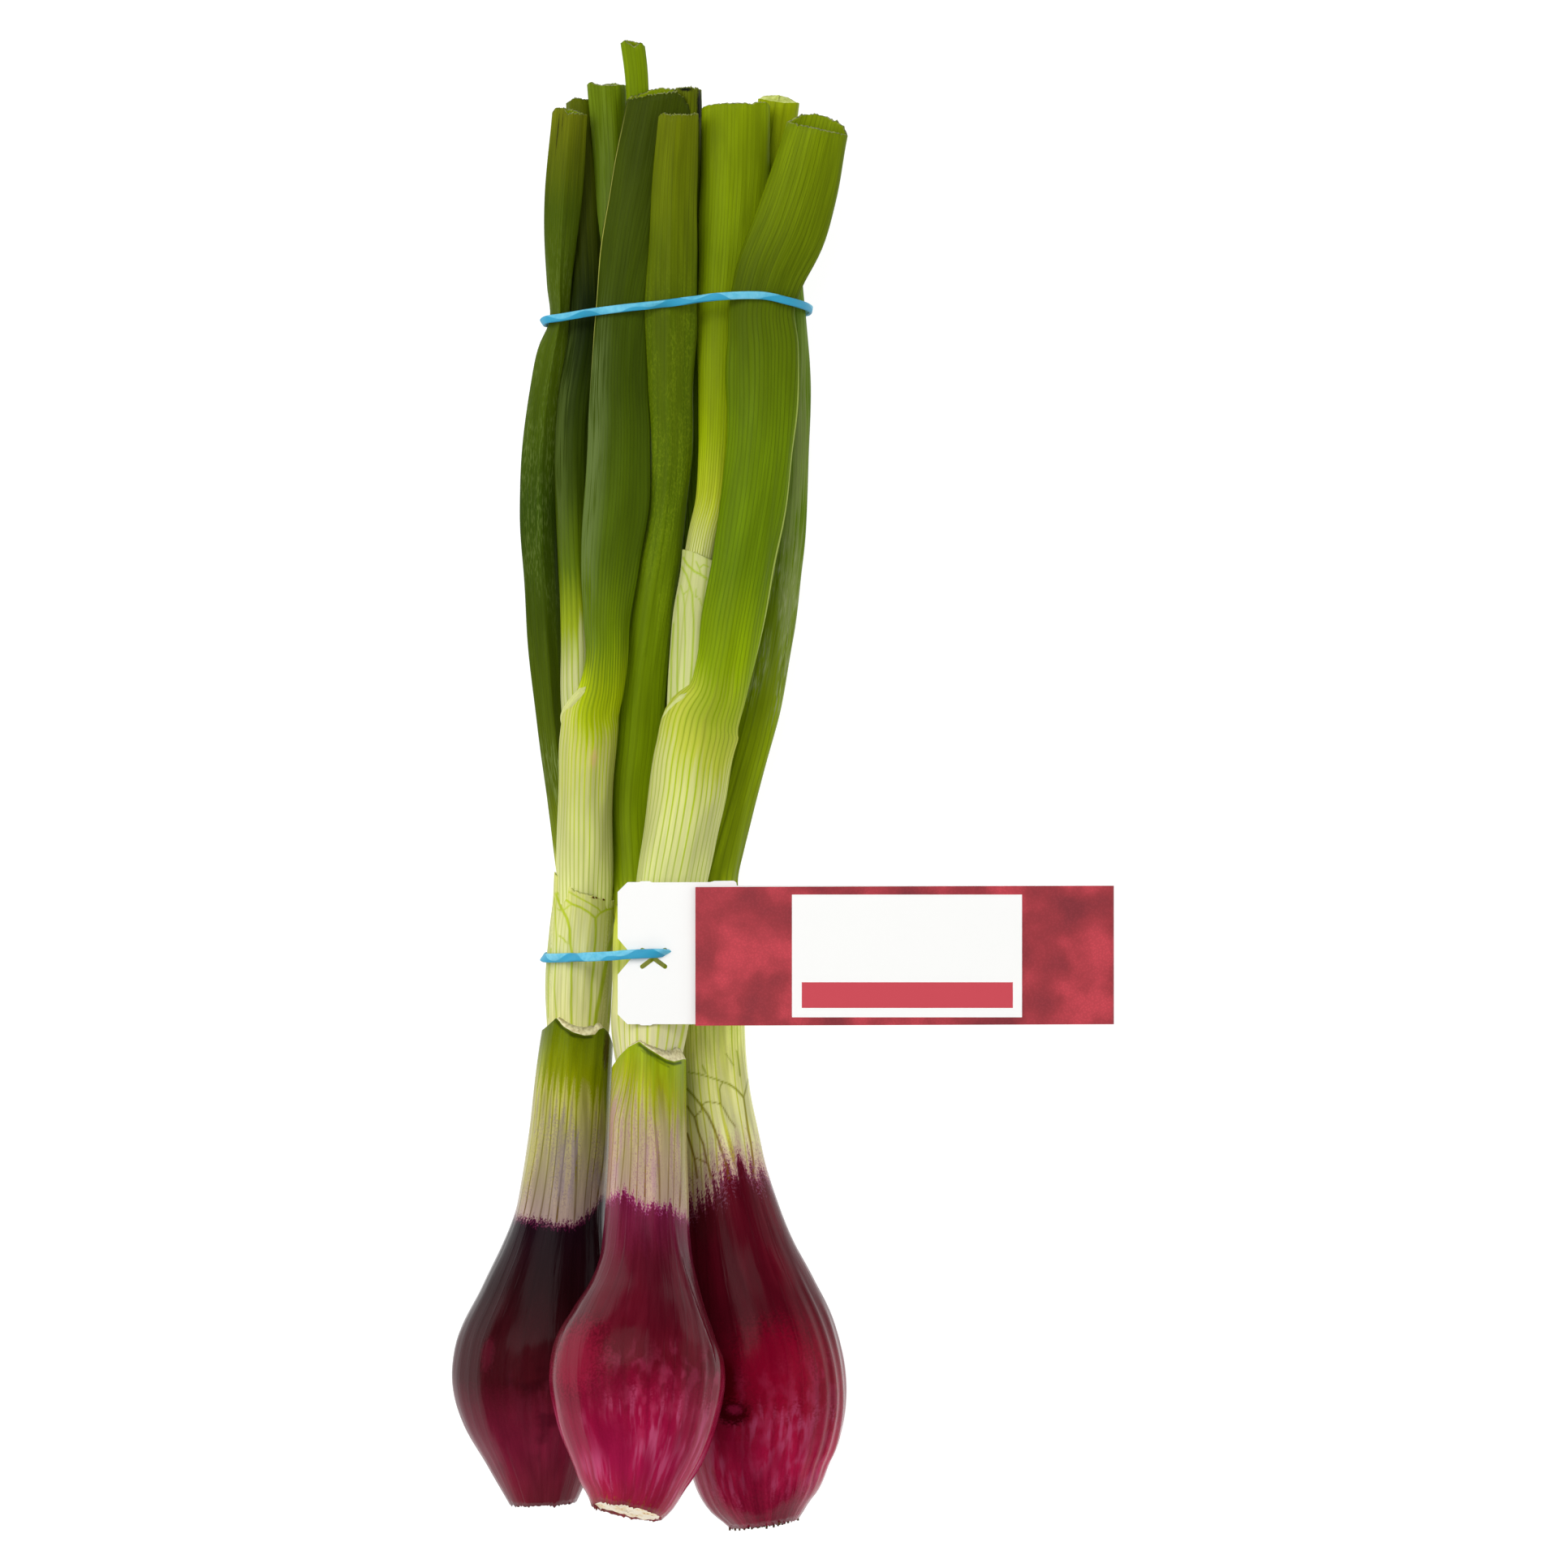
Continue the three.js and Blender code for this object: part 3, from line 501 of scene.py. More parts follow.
# Dry onion skin, waxed by the plant: near black and glossy on the shoulder, crimson at the foot, pale above.
DARK_SKIN = tissue(
    "dark_purple_onion_skin",
    ground=[(-155, "#641c28"), (-142, "#701830"), (-128, "#400c14"), (-110, "#240a0e"), (-96.6, "#180810"),
            (-95.6, "#561038"), (-94.6, "#98827a"), (-80, "#a09668"), (-68, "#a8a450"), (-64, "#848c04"),
            (-52, "#586804")],
    stripes=[(-94.8, "#583c10"), (-64, "#7a7c08")], vein_shade=0.9, girth=54.0, veins=25, vein_share=0.24,
    wedge=3.0, taper=(-92, 0.2, -74), calm=-58.0, finer=(0.5, -84, -66), jag=0.5, speckle=0.8, patches=0.2,
    # Threads colour the fibres just under the collar's cut, darkened with painted shade under its lip.
    threads=[(-58, "#3a4406"), (-50, "#303804")],
    flecks=[("#6c5668", -95, -68, 0.55, 0.3, 0.4), ("#82727e", -94, -69, 0.6, 1.0, 12.0),
            ("#5a1a2a", -152, -122, 0.4, 0.8, 7.0), ("#1e0408", -150, -118, 0.4, 3.0, 5.0)],
    # The third spot is painted shade: a fold of the cut leaf at the right of the collar.
    spots=[("#b0ac48", -0.19, -80.0, 4.5, 16.0, 0.5), ("#7a2038", -0.1, -123.4, 1.1, 3.6, 0.2),
           ("#4a4408", 0.158, -55.6, 1.5, 4.6, 1.1)], **SKIN)
LEFT_HEM = [
    (-93.5, 14, [[-1.0, 0.6], [-0.4, 0.0], [0.1, -0.4], [0.4, 0.6], [0.65, 3.0], [0.85, 6.0], [1.0, 7.0]]),
    (-65, 12, [[-1.0, 1.5], [0.0, -0.5], [0.6, -1.5], [1.0, -3.0]]),
]
# Dark lines just under the collar's cut: partly real fibres, partly painted shade under its lip.
LEFT_FRINGE_AND_SHADE = [
    (0.26, [[-49.3, -50.9], [-47.8, -52.6], [-45.6, -53.9], [-43.1, -54.6], [-41.4, -54.5]]),
    (0.12, [[-47.2, -53.2], [-45.4, -54.5], [-43.4, -55.2]]),
]
add_bulb("left_bulb", LEFT_BULB,
         bulb_rings(LEFT_BULB, LEFT_RIM, LEFT_HEM, seed=1.0, fine=(-61, 0.35)), LEFT_FRINGE_AND_SHADE,
         stubs=60, longest=1.4, seed=1.0, materials=[DARK_SKIN, DARK_PLATE, COLLAR_CUT, ROOT_STUB])

# The middle bulb.
# A red onion with glossy magenta skin that is paler and streaked towards its roots. It lies on the other two,
# so its neck slopes down to the band; its collar is cut at a slant.
MIDDLE_BULB = [
    [-152.6, -33.0, 56.8, 7.7, 7.7],
    [-149.8, -32.4, 56.0, 9.7, 9.7],
    [-145.8, -31.9, 55.0, 11.9, 11.9],
    [-140.0, -31.3, 53.4, 14.9, 14.9],
    [-132.7, -31.0, 51.5, 17.4, 17.4],
    [-125.2, -30.9, 49.5, 18.6, 18.6],
    [-120.0, -30.8, 48.2, 17.9, 17.9],
    [-113.7, -30.2, 46.1, 15.1, 15.1],
    [-107.8, -29.6, 43.8, 12.2, 12.2],
    [-101.0, -29.3, 40.9, 9.9, 9.9],
    [-95.7, -29.3, 38.3, 9.2, 9.2],
    [-87.8, -29.2, 34.4, 8.8, 8.8],
    [-75.5, -29.1, 29.0, 8.3, 8.3],
    [-65.7, -29.1, 25.6, 8.1, 8.1],
    [-58.6, -29.0, 23.5, 8.0, 8.0],
]
MIDDLE_RIM = {
    "front": [[-1.0, -61.0], [-0.79, -58.2], [-0.55, -56.3], [-0.25, -55.1], [0.0, -56.6], [0.25, -57.8],
              [0.48, -58.9], [0.68, -59.4], [0.94, -59.0], [1.0, -59.2]],
    "back": [[-1.0, -61.0], [0.0, -62.0], [1.0, -59.2]],
    "lip": [[-1.0, 0.8], [-0.35, 0.7], [-0.2, 0.6], [0.2, 1.5], [0.55, 2.2], [0.85, 2.7], [1.0, 1.8]],
}
# Fresh root plate: moist cream flesh, browned at its scars.
CREAM_PLATE = root_plate("cream_root_plate", "#c88c4c", "#f8e0b6", "#fff4de")
# Dry onion skin, waxed by the plant: magenta and streaked at the foot, dark and glossy on the shoulder.
RED_SKIN = tissue(
    "magenta_onion_skin",
    ground=[(-153, "#8a3a2c"), (-152.4, "#8c1c34"), (-145, "#981440"), (-136, "#860c32"), (-124, "#580a1a"),
            (-104, "#541020"), (-95, "#661634"), (-93.8, "#903468"), (-92.9, "#a88e7c"), (-76, "#aa9c6a"),
            (-67, "#989c14"), (-55, "#829c04")],
    stripes=[(-92.8, "#704810"), (-66, "#868608")], vein_shade=0.9, girth=56.0, veins=26, vein_share=0.24,
    wedge=3.0, taper=(-90, 0.6, -76), calm=-60.0, finer=(0.5, -82, -66), jag=0.9, speckle=1.1, patches=0.2,
    # Threads colour the fibres just under the collar's cut, darkened with painted shade under its lip.
    threads=[(-62, "#4a5a08"), (-54, "#42520a")],
    flecks=[("#84506a", -95, -70, 0.55, 0.3, 0.4), ("#9a7484", -94, -70, 0.5, 1.0, 11.0),
            ("#b4587c", -152, -130, 0.45, 0.8, 7.0), ("#a83a5c", -148, -118, 0.28, 1.2, 4.5),
            ("#4a0410", -134, -104, 0.4, 3.0, 9.0)],
    spots=[("#a81c40", -0.13, -124.0, 5.5, 9.0, 0.35), ("#b07a80", -0.2, -82.0, 4.0, 12.0, 0.35),
           ("#b4b468", 0.2, -82.0, 4.0, 14.0, 0.4)], **SKIN)
MIDDLE_HEM = [
    (-92, 12, [[-1.0, 4.0], [-0.55, 3.6], [-0.25, 1.4], [0.1, 0.2], [0.5, 0.8], [1.0, 0.0]]),
    (-66, 12, [[-1.0, 5.0], [-0.6, 3.0], [-0.1, 0.0], [0.5, -2.5], [1.0, -3.0]]),
]
RED_EDGE = [((0.62, -92.0), (0.9, -128.0), 0.05, 0.026), ((0.72, -100.0), (0.8, -146.0), 0.05, 0.014)]
# Dark lines just under the collar's cut: partly real fibres, partly painted shade under its lip.
MIDDLE_FRINGE_AND_SHADE = [
    (0.3, [[-31.1, -55.6], [-29.0, -57.1], [-27.0, -58.3], [-25.2, -59.4], [-23.6, -59.9], [-22.2, -59.7]]),
    (0.12, [[-30.4, -56.9], [-28.0, -58.4], [-26.0, -59.7], [-24.6, -60.4]]),
]
add_bulb("middle_bulb", MIDDLE_BULB,
         bulb_rings(MIDDLE_BULB, MIDDLE_RIM, MIDDLE_HEM, seed=2.0, ridges=RED_EDGE, gather=0.12,
                    fine=(-66, 0.35)), MIDDLE_FRINGE_AND_SHADE,
         stubs=22, longest=1.0, seed=2.0, materials=[RED_SKIN, CREAM_PLATE, COLLAR_CUT, CREAM_PLATE])

# The right bulb.
# A crimson red onion with a long pale neck, whose veins branch and join. The collar where its outermost
# leaf is cut off lies under the tag.
RIGHT_BULB = [
    [-159.1, -4.3, 18.8, 7.8, 7.8],
    [-157.6, -4.5, 18.8, 9.1, 9.1],
    [-154.8, -4.9, 18.8, 11.6, 11.6],
    [-146.1, -5.4, 18.6, 15.4, 15.4],
    [-139.1, -5.1, 18.5, 17.5, 17.5],
    [-133.0, -4.9, 18.4, 18.4, 18.4],
    [-126.8, -5.1, 18.4, 18.3, 18.3],
    [-119.9, -5.8, 18.0, 17.2, 17.2],
    [-111.2, -7.7, 17.5, 14.9, 14.9],
    [-102.4, -9.8, 16.7, 12.5, 12.5],
    [-93.7, -11.6, 15.7, 10.9, 10.9],
    [-85.0, -13.2, 14.5, 9.7, 9.7],
    [-76.3, -14.2, 13.2, 8.8, 8.8],
    [-67.6, -15.5, 11.8, 8.3, 8.3],
    [-58.9, -16.2, 10.6, 7.9, 7.9],
    [-48.0, -16.4, 9.4, 7.8, 7.8],
]
RIGHT_RIM = {
    "front": [[-1.0, -49.0], [-0.3, -47.0], [0.4, -47.6], [1.0, -49.4]],
    "back": [[-1.0, -49.0], [0.0, -47.0], [1.0, -49.4]],
    "lip": [[-1.0, 1.0], [1.0, 1.0]],
}
# Dry onion skin, waxed by the plant: crimson with darker fibres, fraying out over a pale neck.
CRIMSON_SKIN = tissue(
    "crimson_onion_skin",
    ground=[(-161, "#6c0e26"), (-146, "#a0123c"), (-132, "#7c0a24"), (-114, "#560a1a"), (-88, "#520818"),
            (-86, "#7a2e48"), (-84, "#bca08c"), (-76, "#cecc90"), (-64, "#cac87c"), (-56, "#d8da78"),
            (-46, "#bccc58")],
    stripes=[(-83, "#8c6c3c"), (-74, "#b8b83c"), (-40, "#98b008")], vein_shade=0.88, girth=52.0, veins=22,
    vein_share=0.26, taper=(-84, 1.0, -70), finer=(0.45, -80, -60), speckle=1.8, patches=0.22,
    threads=[(-86, "#6a3c0c"), (-78, "#7e6c10"), (-66, "#808614"), (-58, "#98a426")],
    flecks=[("#a84c70", -157, -130, 0.45, 0.8, 6.0), ("#a83c60", -154, -122, 0.3, 1.4, 4.5),
            ("#4a0412", -140, -96, 0.4, 3.0, 9.0), ("#7c4860", -92, -78, 0.75, 0.35, 0.5)],
    spots=[("#96002a", 0.03, -125.0, 6.0, 11.0, 0.4), ("#4a0008", -0.062, -127.5, 1.3, 7.0, 0.9),
           ("#44000a", -0.055, -134.2, 2.5, 4.3, 1.3), ("#8c1a3c", -0.05, -133.6, 1.1, 1.8, 0.8)], **SKIN)
CRIMSON_VEINS = [
    (0.13, [[-20.6, -62.3], [-18.7, -62.5], [-16.4, -63.1], [-14.1, -63.9], [-11.8, -64.8]]),
    (0.2, [[-11.8, -64.8], [-10.3, -65.9], [-9.2, -67.1], [-8.7, -67.8], [-8.3, -70.7], [-7.8, -74.5],
           [-7.1, -78.0], [-6.7, -81.2], [-6.5, -84.7]]),
    (0.14, [[-8.7, -67.8], [-8.2, -65.7], [-7.8, -64.0]]),
    (0.24, [[-20.9, -65.9], [-19.7, -67.1], [-18.1, -69.0], [-16.4, -71.3], [-14.9, -74.5], [-13.7, -78.0],
            [-12.6, -81.2], [-11.8, -84.7]]),
    (0.2, [[-20.9, -69.6], [-20.0, -70.9], [-19.3, -71.8], [-18.5, -74.9], [-17.4, -77.6], [-16.6, -81.2],
           [-15.5, -84.7]]),
    (0.12, [[-19.3, -71.8], [-17.9, -70.5], [-17.7, -69.4]]),
    (0.12, [[-17.7, -69.2], [-16.8, -68.6], [-15.3, -68.6], [-13.7, -68.9], [-13.0, -69.9], [-11.6, -72.4],
            [-10.5, -73.8]]),
    (0.12, [[-13.6, -68.8], [-13.7, -67.3], [-13.9, -66.1], [-13.7, -65.0], [-13.2, -64.4]]),
    (0.24, [[-20.9, -75.5], [-20.2, -77.6], [-19.3, -80.6], [-18.7, -84.7]]),
    (0.12, [[-19.3, -80.5], [-17.9, -80.9], [-16.6, -81.6]]),
    (0.16, [[-17.6, -60.8], [-16.9, -62.3]]),
    (0.16, [[-10.2, -57.7], [-9.9, -59.8], [-9.5, -63.1]]),
    (0.1, [[-12.5, -58.3], [-10.9, -60.8]]),
]
RIGHT_HEM = [
    (-88, 14, [[-1.0, -4.5], [-0.6, -4.5], [-0.3, -2.5], [0.0, 0.5], [0.15, 1.5], [0.32, 0.7], [0.42, 4.5],
               [0.55, 0.5], [1.0, -0.5]]),
]
CRIMSON_EDGES = [((0.7, -108.0), (0.78, -158.0), 0.05, 0.012), ((0.82, -104.0), (0.88, -156.0), 0.05, 0.02),
                 ((0.94, -112.0), (0.96, -154.0), 0.04, 0.02)]
add_bulb("right_bulb", RIGHT_BULB,
         bulb_rings(RIGHT_BULB, RIGHT_RIM, RIGHT_HEM, seed=3.0, ridges=CRIMSON_EDGES, count=200,
                    fine=(-90, 0.35)), CRIMSON_VEINS,
         stubs=120, longest=1.8, seed=3.0, materials=[CRIMSON_SKIN, DARK_PLATE, COLLAR_CUT, ROOT_STUB])

# The leaves of the left onion.
# Each leaf is a pale, striped sheath round the younger ones that runs on into a hollow green blade, trimmed
# at its tip. The oldest is the olive one at the far left, and the youngest stands highest.
LEFT_SHEATH_1 = [
    [-57.0, -44.8, 13.1, 6.4, 6.4],
    [-52.1, -44.7, 13.1, 6.8, 6.8],
    [-41.2, -44.3, 13.0, 7.2, 7.2],
    [-32.4, -43.8, 12.9, 7.1, 7.0],
    [-25.3, -43.3, 12.7, 6.7, 6.6],
    [-20.0, -43.3, 12.8, 6.45, 6.45],
]
LEFT_BLADE_1 = [
    [-36.0, -45.0, 8.4, 3.6, 2.0],
    [-25.0, -45.2, 8.0, 4.0, 2.4],
    [-16.9, -45.3, 8.6, 4.5, 3.5],
    [-2.5, -48.3, 7.0, 3.4, 2.8],
    [10.4, -50.1, 6.6, 3.4, 2.8],
    [26.2, -51.5, 6.5, 3.8, 2.8],
    [44.9, -52.7, 6.8, 4.0, 2.8],
    [59.3, -53.3, 7.2, 4.2, 2.8],
    [75.9, -52.7, 7.8, 4.0, 2.8],
    [86.3, -51.6, 8.2, 3.6, 2.8],
    [94.1, -50.3, 8.4, 3.2, 2.9],
    [100.4, -48.9, 8.5, 2.1, 3.2],
    [108.7, -48.9, 9.0, 2.7, 2.9],
    [121.4, -48.3, 10.5, 3.9, 2.6],
    [134.9, -47.3, 11.5, 4.0, 2.4],
    [146.1, -46.4, 12.0, 3.8, 2.4],
]
LEFT_LEAF_2 = [
    [-27.8, -43.4, 12.9, 6.0, 6.0],
    [-14.8, -43.2, 12.8, 6.2, 6.2],
    [0.2, -43.0, 12.7, 5.9, 6.1],
    [10.4, -42.3, 12.9, 6.1, 5.9],
    [15.1, -41.6, 13.6, 5.9, 5.2],
    [20.4, -39.6, 14.5, 5.0, 4.1],
    [26.0, -38.5, 14.8, 4.7, 3.4],
    [36.2, -38.3, 14.8, 5.1, 3.0],
    [47.3, -37.6, 14.5, 6.3, 2.8],
    [60.1, -36.3, 14.2, 7.1, 2.6],
    [75.6, -35.7, 13.6, 6.7, 2.4],
    [88.5, -35.8, 13.0, 6.1, 2.3],
    [100.5, -35.2, 12.4, 6.0, 2.2],
    [114.9, -33.2, 12.2, 6.6, 2.1],
    [132.5, -29.8, 12.3, 7.3, 2.0],
    [148.5, -26.8, 12.6, 7.3, 1.9],
]
LEFT_LEAF_3 = [
    [12.0, -43.8, 12.0, 4.2, 4.2],
    [20.4, -44.7, 11.6, 3.7, 4.2],
    [29.2, -44.9, 11.0, 3.5, 3.8],
    [39.8, -45.1, 10.6, 3.5, 3.4],
    [55.2, -45.7, 10.0, 3.7, 3.0],
    [81.0, -45.4, 9.0, 4.1, 2.8],
    [100.8, -42.8, 7.6, 4.0, 2.3],
    [121.8, -43.3, 6.2, 3.7, 2.2],
    [135.5, -43.8, 5.4, 3.4, 2.2],
    [149.3, -44.3, 4.8, 3.1, 2.2],
]
LEFT_LEAF_4 = [
    [26.0, -43.5, 12.3, 1.9, 1.7],
    [31.0, -43.1, 12.2, 1.9, 1.7],
    [36.3, -42.5, 11.0, 1.9, 1.4],
    [46.9, -40.7, 10.2, 2.3, 1.2],
    [64.5, -38.6, 10.1, 2.5, 1.2],
    [82.2, -36.9, 9.6, 2.5, 1.2],
    [100.7, -35.1, 8.8, 2.5, 1.2],
    [117.5, -33.5, 8.9, 2.5, 1.2],
    [135.1, -32.3, 9.1, 2.5, 1.2],
    [150.1, -31.9, 9.4, 2.5, 1.2],
    [156.2, -32.3, 9.8, 2.6, 1.3],
    [161.4, -33.0, 10.3, 2.6, 1.3],
]


def leaf_rings(stations, rim, seed, blade=None, edge=0.35, keel=0.0, keel_at=0.0, count=84, step=1.5,
               wall=0.45, depth=20.0, reach=8.0, ragged=0.25, uneven=0.04, bevel=0.25, hem=(),
               slant=(0.0, 0.0, 1.0), cut=1):
    """Rings of a leaf from its hidden base to its cut end and back down inside. Its section turns from a
    round sheath into a blade between the two levels of `blade`. A depth of 0 leaves the cut end solid. Slant
    is how far round, as a share, the veins run between two levels, and cut is the slot of the cut edge."""
    first, last = stations[0][0], stations[-1][0]
    sheath_end, blade_start = blade or (first, first + 1)
    rings = []
    for y in np.linspace(first, last, int((last - first) / step) + 2):
        _, _, wide, thick = through(stations, y)
        turned = float(smooth_step((y - sheath_end) / (blade_start - sheath_end)))
        across, out, share = section(wide, thick, count, edge * turned, keel * turned, keel_at)
        rim_y = collar_y(stations, rim, across, out, last)
        rim_y = rim_y + ragged * sway(share, 0.0, seed + 7, around=12.0)
        level = y + smooth_step((y - last + reach) / reach) * (rim_y - last)
        girth = 1 + uneven * sway(share, y, seed)
        turned_by = slant[0] * smooth_step((y - slant[1]) / (slant[2] - slant[1]))
        marks = strands(share + turned_by, level - raised_by(hem, across, y))
        rings.append((place(stations, level, across * girth, out * girth), marks, 0))
    rim_marks = strands(share + turned_by, rim_y)
    bevelled = place(stations, rim_y + bevel * out, across * girth, out * girth, inset=wall)
    rings.append((bevelled, rim_marks, cut))
    if depth:
        for down in (0.6, 2.0, 5.0, 0.5 * depth, depth):
            inner = place(stations, rim_y - down, across * girth, out * girth, inset=wall)
            rings.append((inner, strands(share, rim_y - down), 2))
    else:
        for shrink in (0.6, 0.3, 0.05):
            rings.append((place(stations, rim_y, across * shrink, out * shrink, inset=wall), rim_marks, 1))
    return rings


def lip_rings(stations, carried):
    """Rings of the pale rolled lip of a sheath, where the next leaf comes out of it. Its colour is carried up
    from the sheath below."""
    across, out, share = section(1.0, 0.5, 20)
    rings = []
    for y in np.linspace(stations[0][0], stations[-1][0], 22):
        ends = 0.15 + 0.85 * smooth_step(min(y - stations[0][0], stations[-1][0] - y))
        rings.append((place(stations, y, across * ends, out * ends), strands(share, y - carried), 0))
    return rings


def add_leaf(node, lofts, materials, veins=()):
    leaf = bmesh.new()
    for rings in lofts:
        loft(leaf, rings)
    if veins:
        draw_veins(leaf, veins)
    return finish_piece(leaf, node, materials)


# Cut leaf ends: dried to a dull green edge, or still pale and moist on the inner stem.
LEAF_CUT = cut_leaf("dried_leaf_cut", "#8c9440", "#454f12")
PALE_CUT = cut_leaf("pale_leaf_cut", "#c3cc6e", "#a8b44a")
# The lining of a hollow leaf: moist, smooth and paler than its outside.
HOLLOW = tissue(
    "leaf_lining", ground=[(-60, "#8fa028"), (60, "#6d8206"), (165, "#7a8c06")],
    vein_shade=0.7, girth=30.0, veins=30, roughness=0.5)
# The oldest leaf: a sheath gone ivory with faint stripes, under a leathery olive blade specked with wax.
OLD_LEAF = tissue(
    "olive_leaf",
    ground=[(-57, "#cac684"), (-36, "#c8c98e"), (-18, "#c0c268"), (-12, "#728012"), (0, "#4a5804"),
            (60, "#304404"), (95, "#465804"), (125, "#3e4e04"), (147, "#666c08")],
    stripes=[(-60, "#bcbe70"), (-16, "#b4b858")], girth=34.0, veins=34, wander=1.6, wedge=1.0,
    threads=[(-57, "#a2ae28"), (-40, "#a6b430"), (-20, "#a8b626")],
    flecks=[("#8a9a5c", -12, 12, 0.35, 0.4, 3.4), ("#6c7c3c", 20, 130, 0.3, 0.5, 1.6)],
    # Spots: two brown cracks in the torn rim, painted shade down both flanks of the sheath, and two near
    # black lines of painted shade in a crease near the tip.
    spots=[("#5a3408", 0.075, -24.4, 1.6, 0.34, 1.8), ("#5a3408", 0.13, -24.9, 0.8, 0.3, 1.5),
           ("#a2aa62", -0.26, -40.0, 3.4, 24.0, 0.6), ("#8a9010", 0.22, -40.0, 3.2, 24.0, 0.5),
           ("#343204", -0.13, 141.0, 0.35, 5.5, 1.0), ("#343204", -0.08, 143.6, 0.3, 3.0, 1.0)])
OLD_VEINS = [
    (0.14, [[-49.7, -24.6], [-49.4, -29.3], [-49.2, -33.5], [-49.2, -36.7], [-49.4, -39.9], [-49.6, -44.2],
            [-49.2, -49.5], [-49.2, -52.0]]),
    (0.14, [[-50.4, -35.7], [-51.0, -42.0], [-51.0, -45.2], [-51.0, -50.5]]),
    (0.3, [[-49.4, -23.8], [-48.2, -26.6], [-46.8, -29.1], [-46.2, -31.4], [-46.1, -34.4]]),
    (0.24, [[-46.1, -34.4], [-45.7, -36.9], [-45.8, -38.9], [-45.9, -41.2], [-45.8, -44.2], [-45.9, -47.3],
            [-45.8, -52.0]]),
    (0.24, [[-49.0, -23.6], [-47.0, -25.1], [-45.8, -25.9], [-43.9, -26.6], [-42.2, -27.6], [-40.7, -28.9]]),
    (0.24, [[-40.7, -28.9], [-40.6, -31.4], [-40.7, -34.0], [-40.9, -36.1], [-41.0, -39.1], [-41.5, -43.1],
            [-41.6, -46.3], [-42.0, -52.5]]),
    (0.22, [[-40.7, -28.9], [-39.6, -27.8], [-38.4, -27.2], [-36.4, -26.8]]),
    (0.16, [[-39.6, -27.6], [-40.1, -26.9], [-42.0, -25.7], [-44.1, -24.6], [-46.2, -23.4], [-48.3, -22.5]]),
    (0.16, [[-38.4, -27.2], [-38.4, -25.7], [-38.6, -25.1]]),
    (0.13, [[-45.8, -25.9], [-46.8, -26.6], [-47.5, -27.2]]),
    (0.13, [[-49.0, -27.0], [-48.1, -27.4]]),
    (0.14, [[-48.7, -32.7], [-47.7, -33.3], [-47.0, -34.2], [-46.2, -34.3]]),
    (0.4, [[-36.2, -31.0], [-37.5, -34.4], [-37.9, -36.3], [-38.6, -39.5], [-39.0, -41.8], [-39.6, -45.2],
           [-40.5, -49.5], [-40.8, -52.0]]),
    (0.3, [[-36.6, -38.0], [-37.1, -44.2], [-37.7, -48.4], [-37.9, -51.6]]),
]
add_leaf(
    "left_leaf_1",
    [
        leaf_rings(LEFT_SHEATH_1, seed=4.0, reach=9.0, depth=4.0, wall=0.3, count=200, step=0.35, cut=0,
                   rim={"front": [[-1.0, -19.4], [-0.8, -20.6], [-0.3, -23.2], [0.4, -24.6], [1.0, -25.4]],
                        "back": [[-1.0, -19.4], [-0.5, -18.0], [0.5, -20.0], [1.0, -25.4]]}),
        leaf_rings(LEFT_BLADE_1, seed=5.0, keel=0.7, keel_at=0.1, edge=0.1,
                   rim={"front": [[-1.0, 145.6], [-0.85, 146.4], [-0.35, 146.5], [-0.22, 145.4],
                                  [-0.1, 145.0], [1.0, 145.1]],
                        "back": [[-1.0, 145.6], [-0.4, 146.9], [0.3, 146.4], [1.0, 145.1]]}),
    ],
    [OLD_LEAF, LEAF_CUT, HOLLOW], OLD_VEINS)
# A full grown leaf: an ivory sheath with crisp green stripes, under a deep green blade dusted with wax.
FRONT_LEAF = tissue(
    "deep_green_leaf",
    ground=[(-28, "#d2d48c"), (-5, "#b4b670"), (6, "#b2b25c"), (14, "#a0b008"), (30, "#607604"),
            (48, "#465a04"), (90, "#364604"), (149, "#384404")],
    stripes=[(-32, "#a8b838"), (10, "#9cae10")], vein_shade=0.88, girth=38.0, veins=38,
    wedge=3.5, jag=4.0, bloom=("#6a7a46", 0.55, -0.6, 0.9, 20, 110),
    # The first edge line is a painted highlight along the fold at the blade's left edge.
    edge_lines=[("#a8a850", -0.15, 0.22, 84, 150), ("#9a7a20", 0.235, 0.35, -30, 14)],
    spots=[("#c8966a", 0.045, 6.0, 1.2, 3.4, 0.4)])
LEFT_LIP = [
    [12.4, -47.4, 12.9, 0.8, 0.4],
    [14.9, -47.5, 13.9, 0.9, 0.5],
    [17.2, -45.8, 16.0, 1.25, 0.6],
    [19.5, -43.8, 17.2, 1.2, 0.5],
    [21.0, -42.8, 17.5, 0.9, 0.4],
]
add_leaf(
    "left_leaf_2",
    [lip_rings(LEFT_LIP, 42.0),
     leaf_rings(LEFT_LEAF_2, seed=6.0, blade=(8, 30), edge=0.5, reach=10.0, ragged=0.3, slant=(0.09, 9, 28),
                hem=[(13, 13, [[-1.0, 11.0], [-0.75, 8.0], [-0.45, 1.0], [-0.1, -1.0], [0.5, 0.0],
                               [1.0, 1.0]])],
                rim={"front": [[-1.0, 148.4], [-0.5, 149.0], [0.0, 149.4], [0.45, 149.8], [0.7, 148.5],
                               [0.92, 146.4], [1.0, 145.6]],
                     "back": [[-1.0, 148.4], [-0.6, 149.8], [-0.3, 150.8], [0.0, 151.2], [0.3, 150.7],
                              [0.8, 149.6], [1.0, 145.6]]})],
    [FRONT_LEAF, LEAF_CUT, HOLLOW])
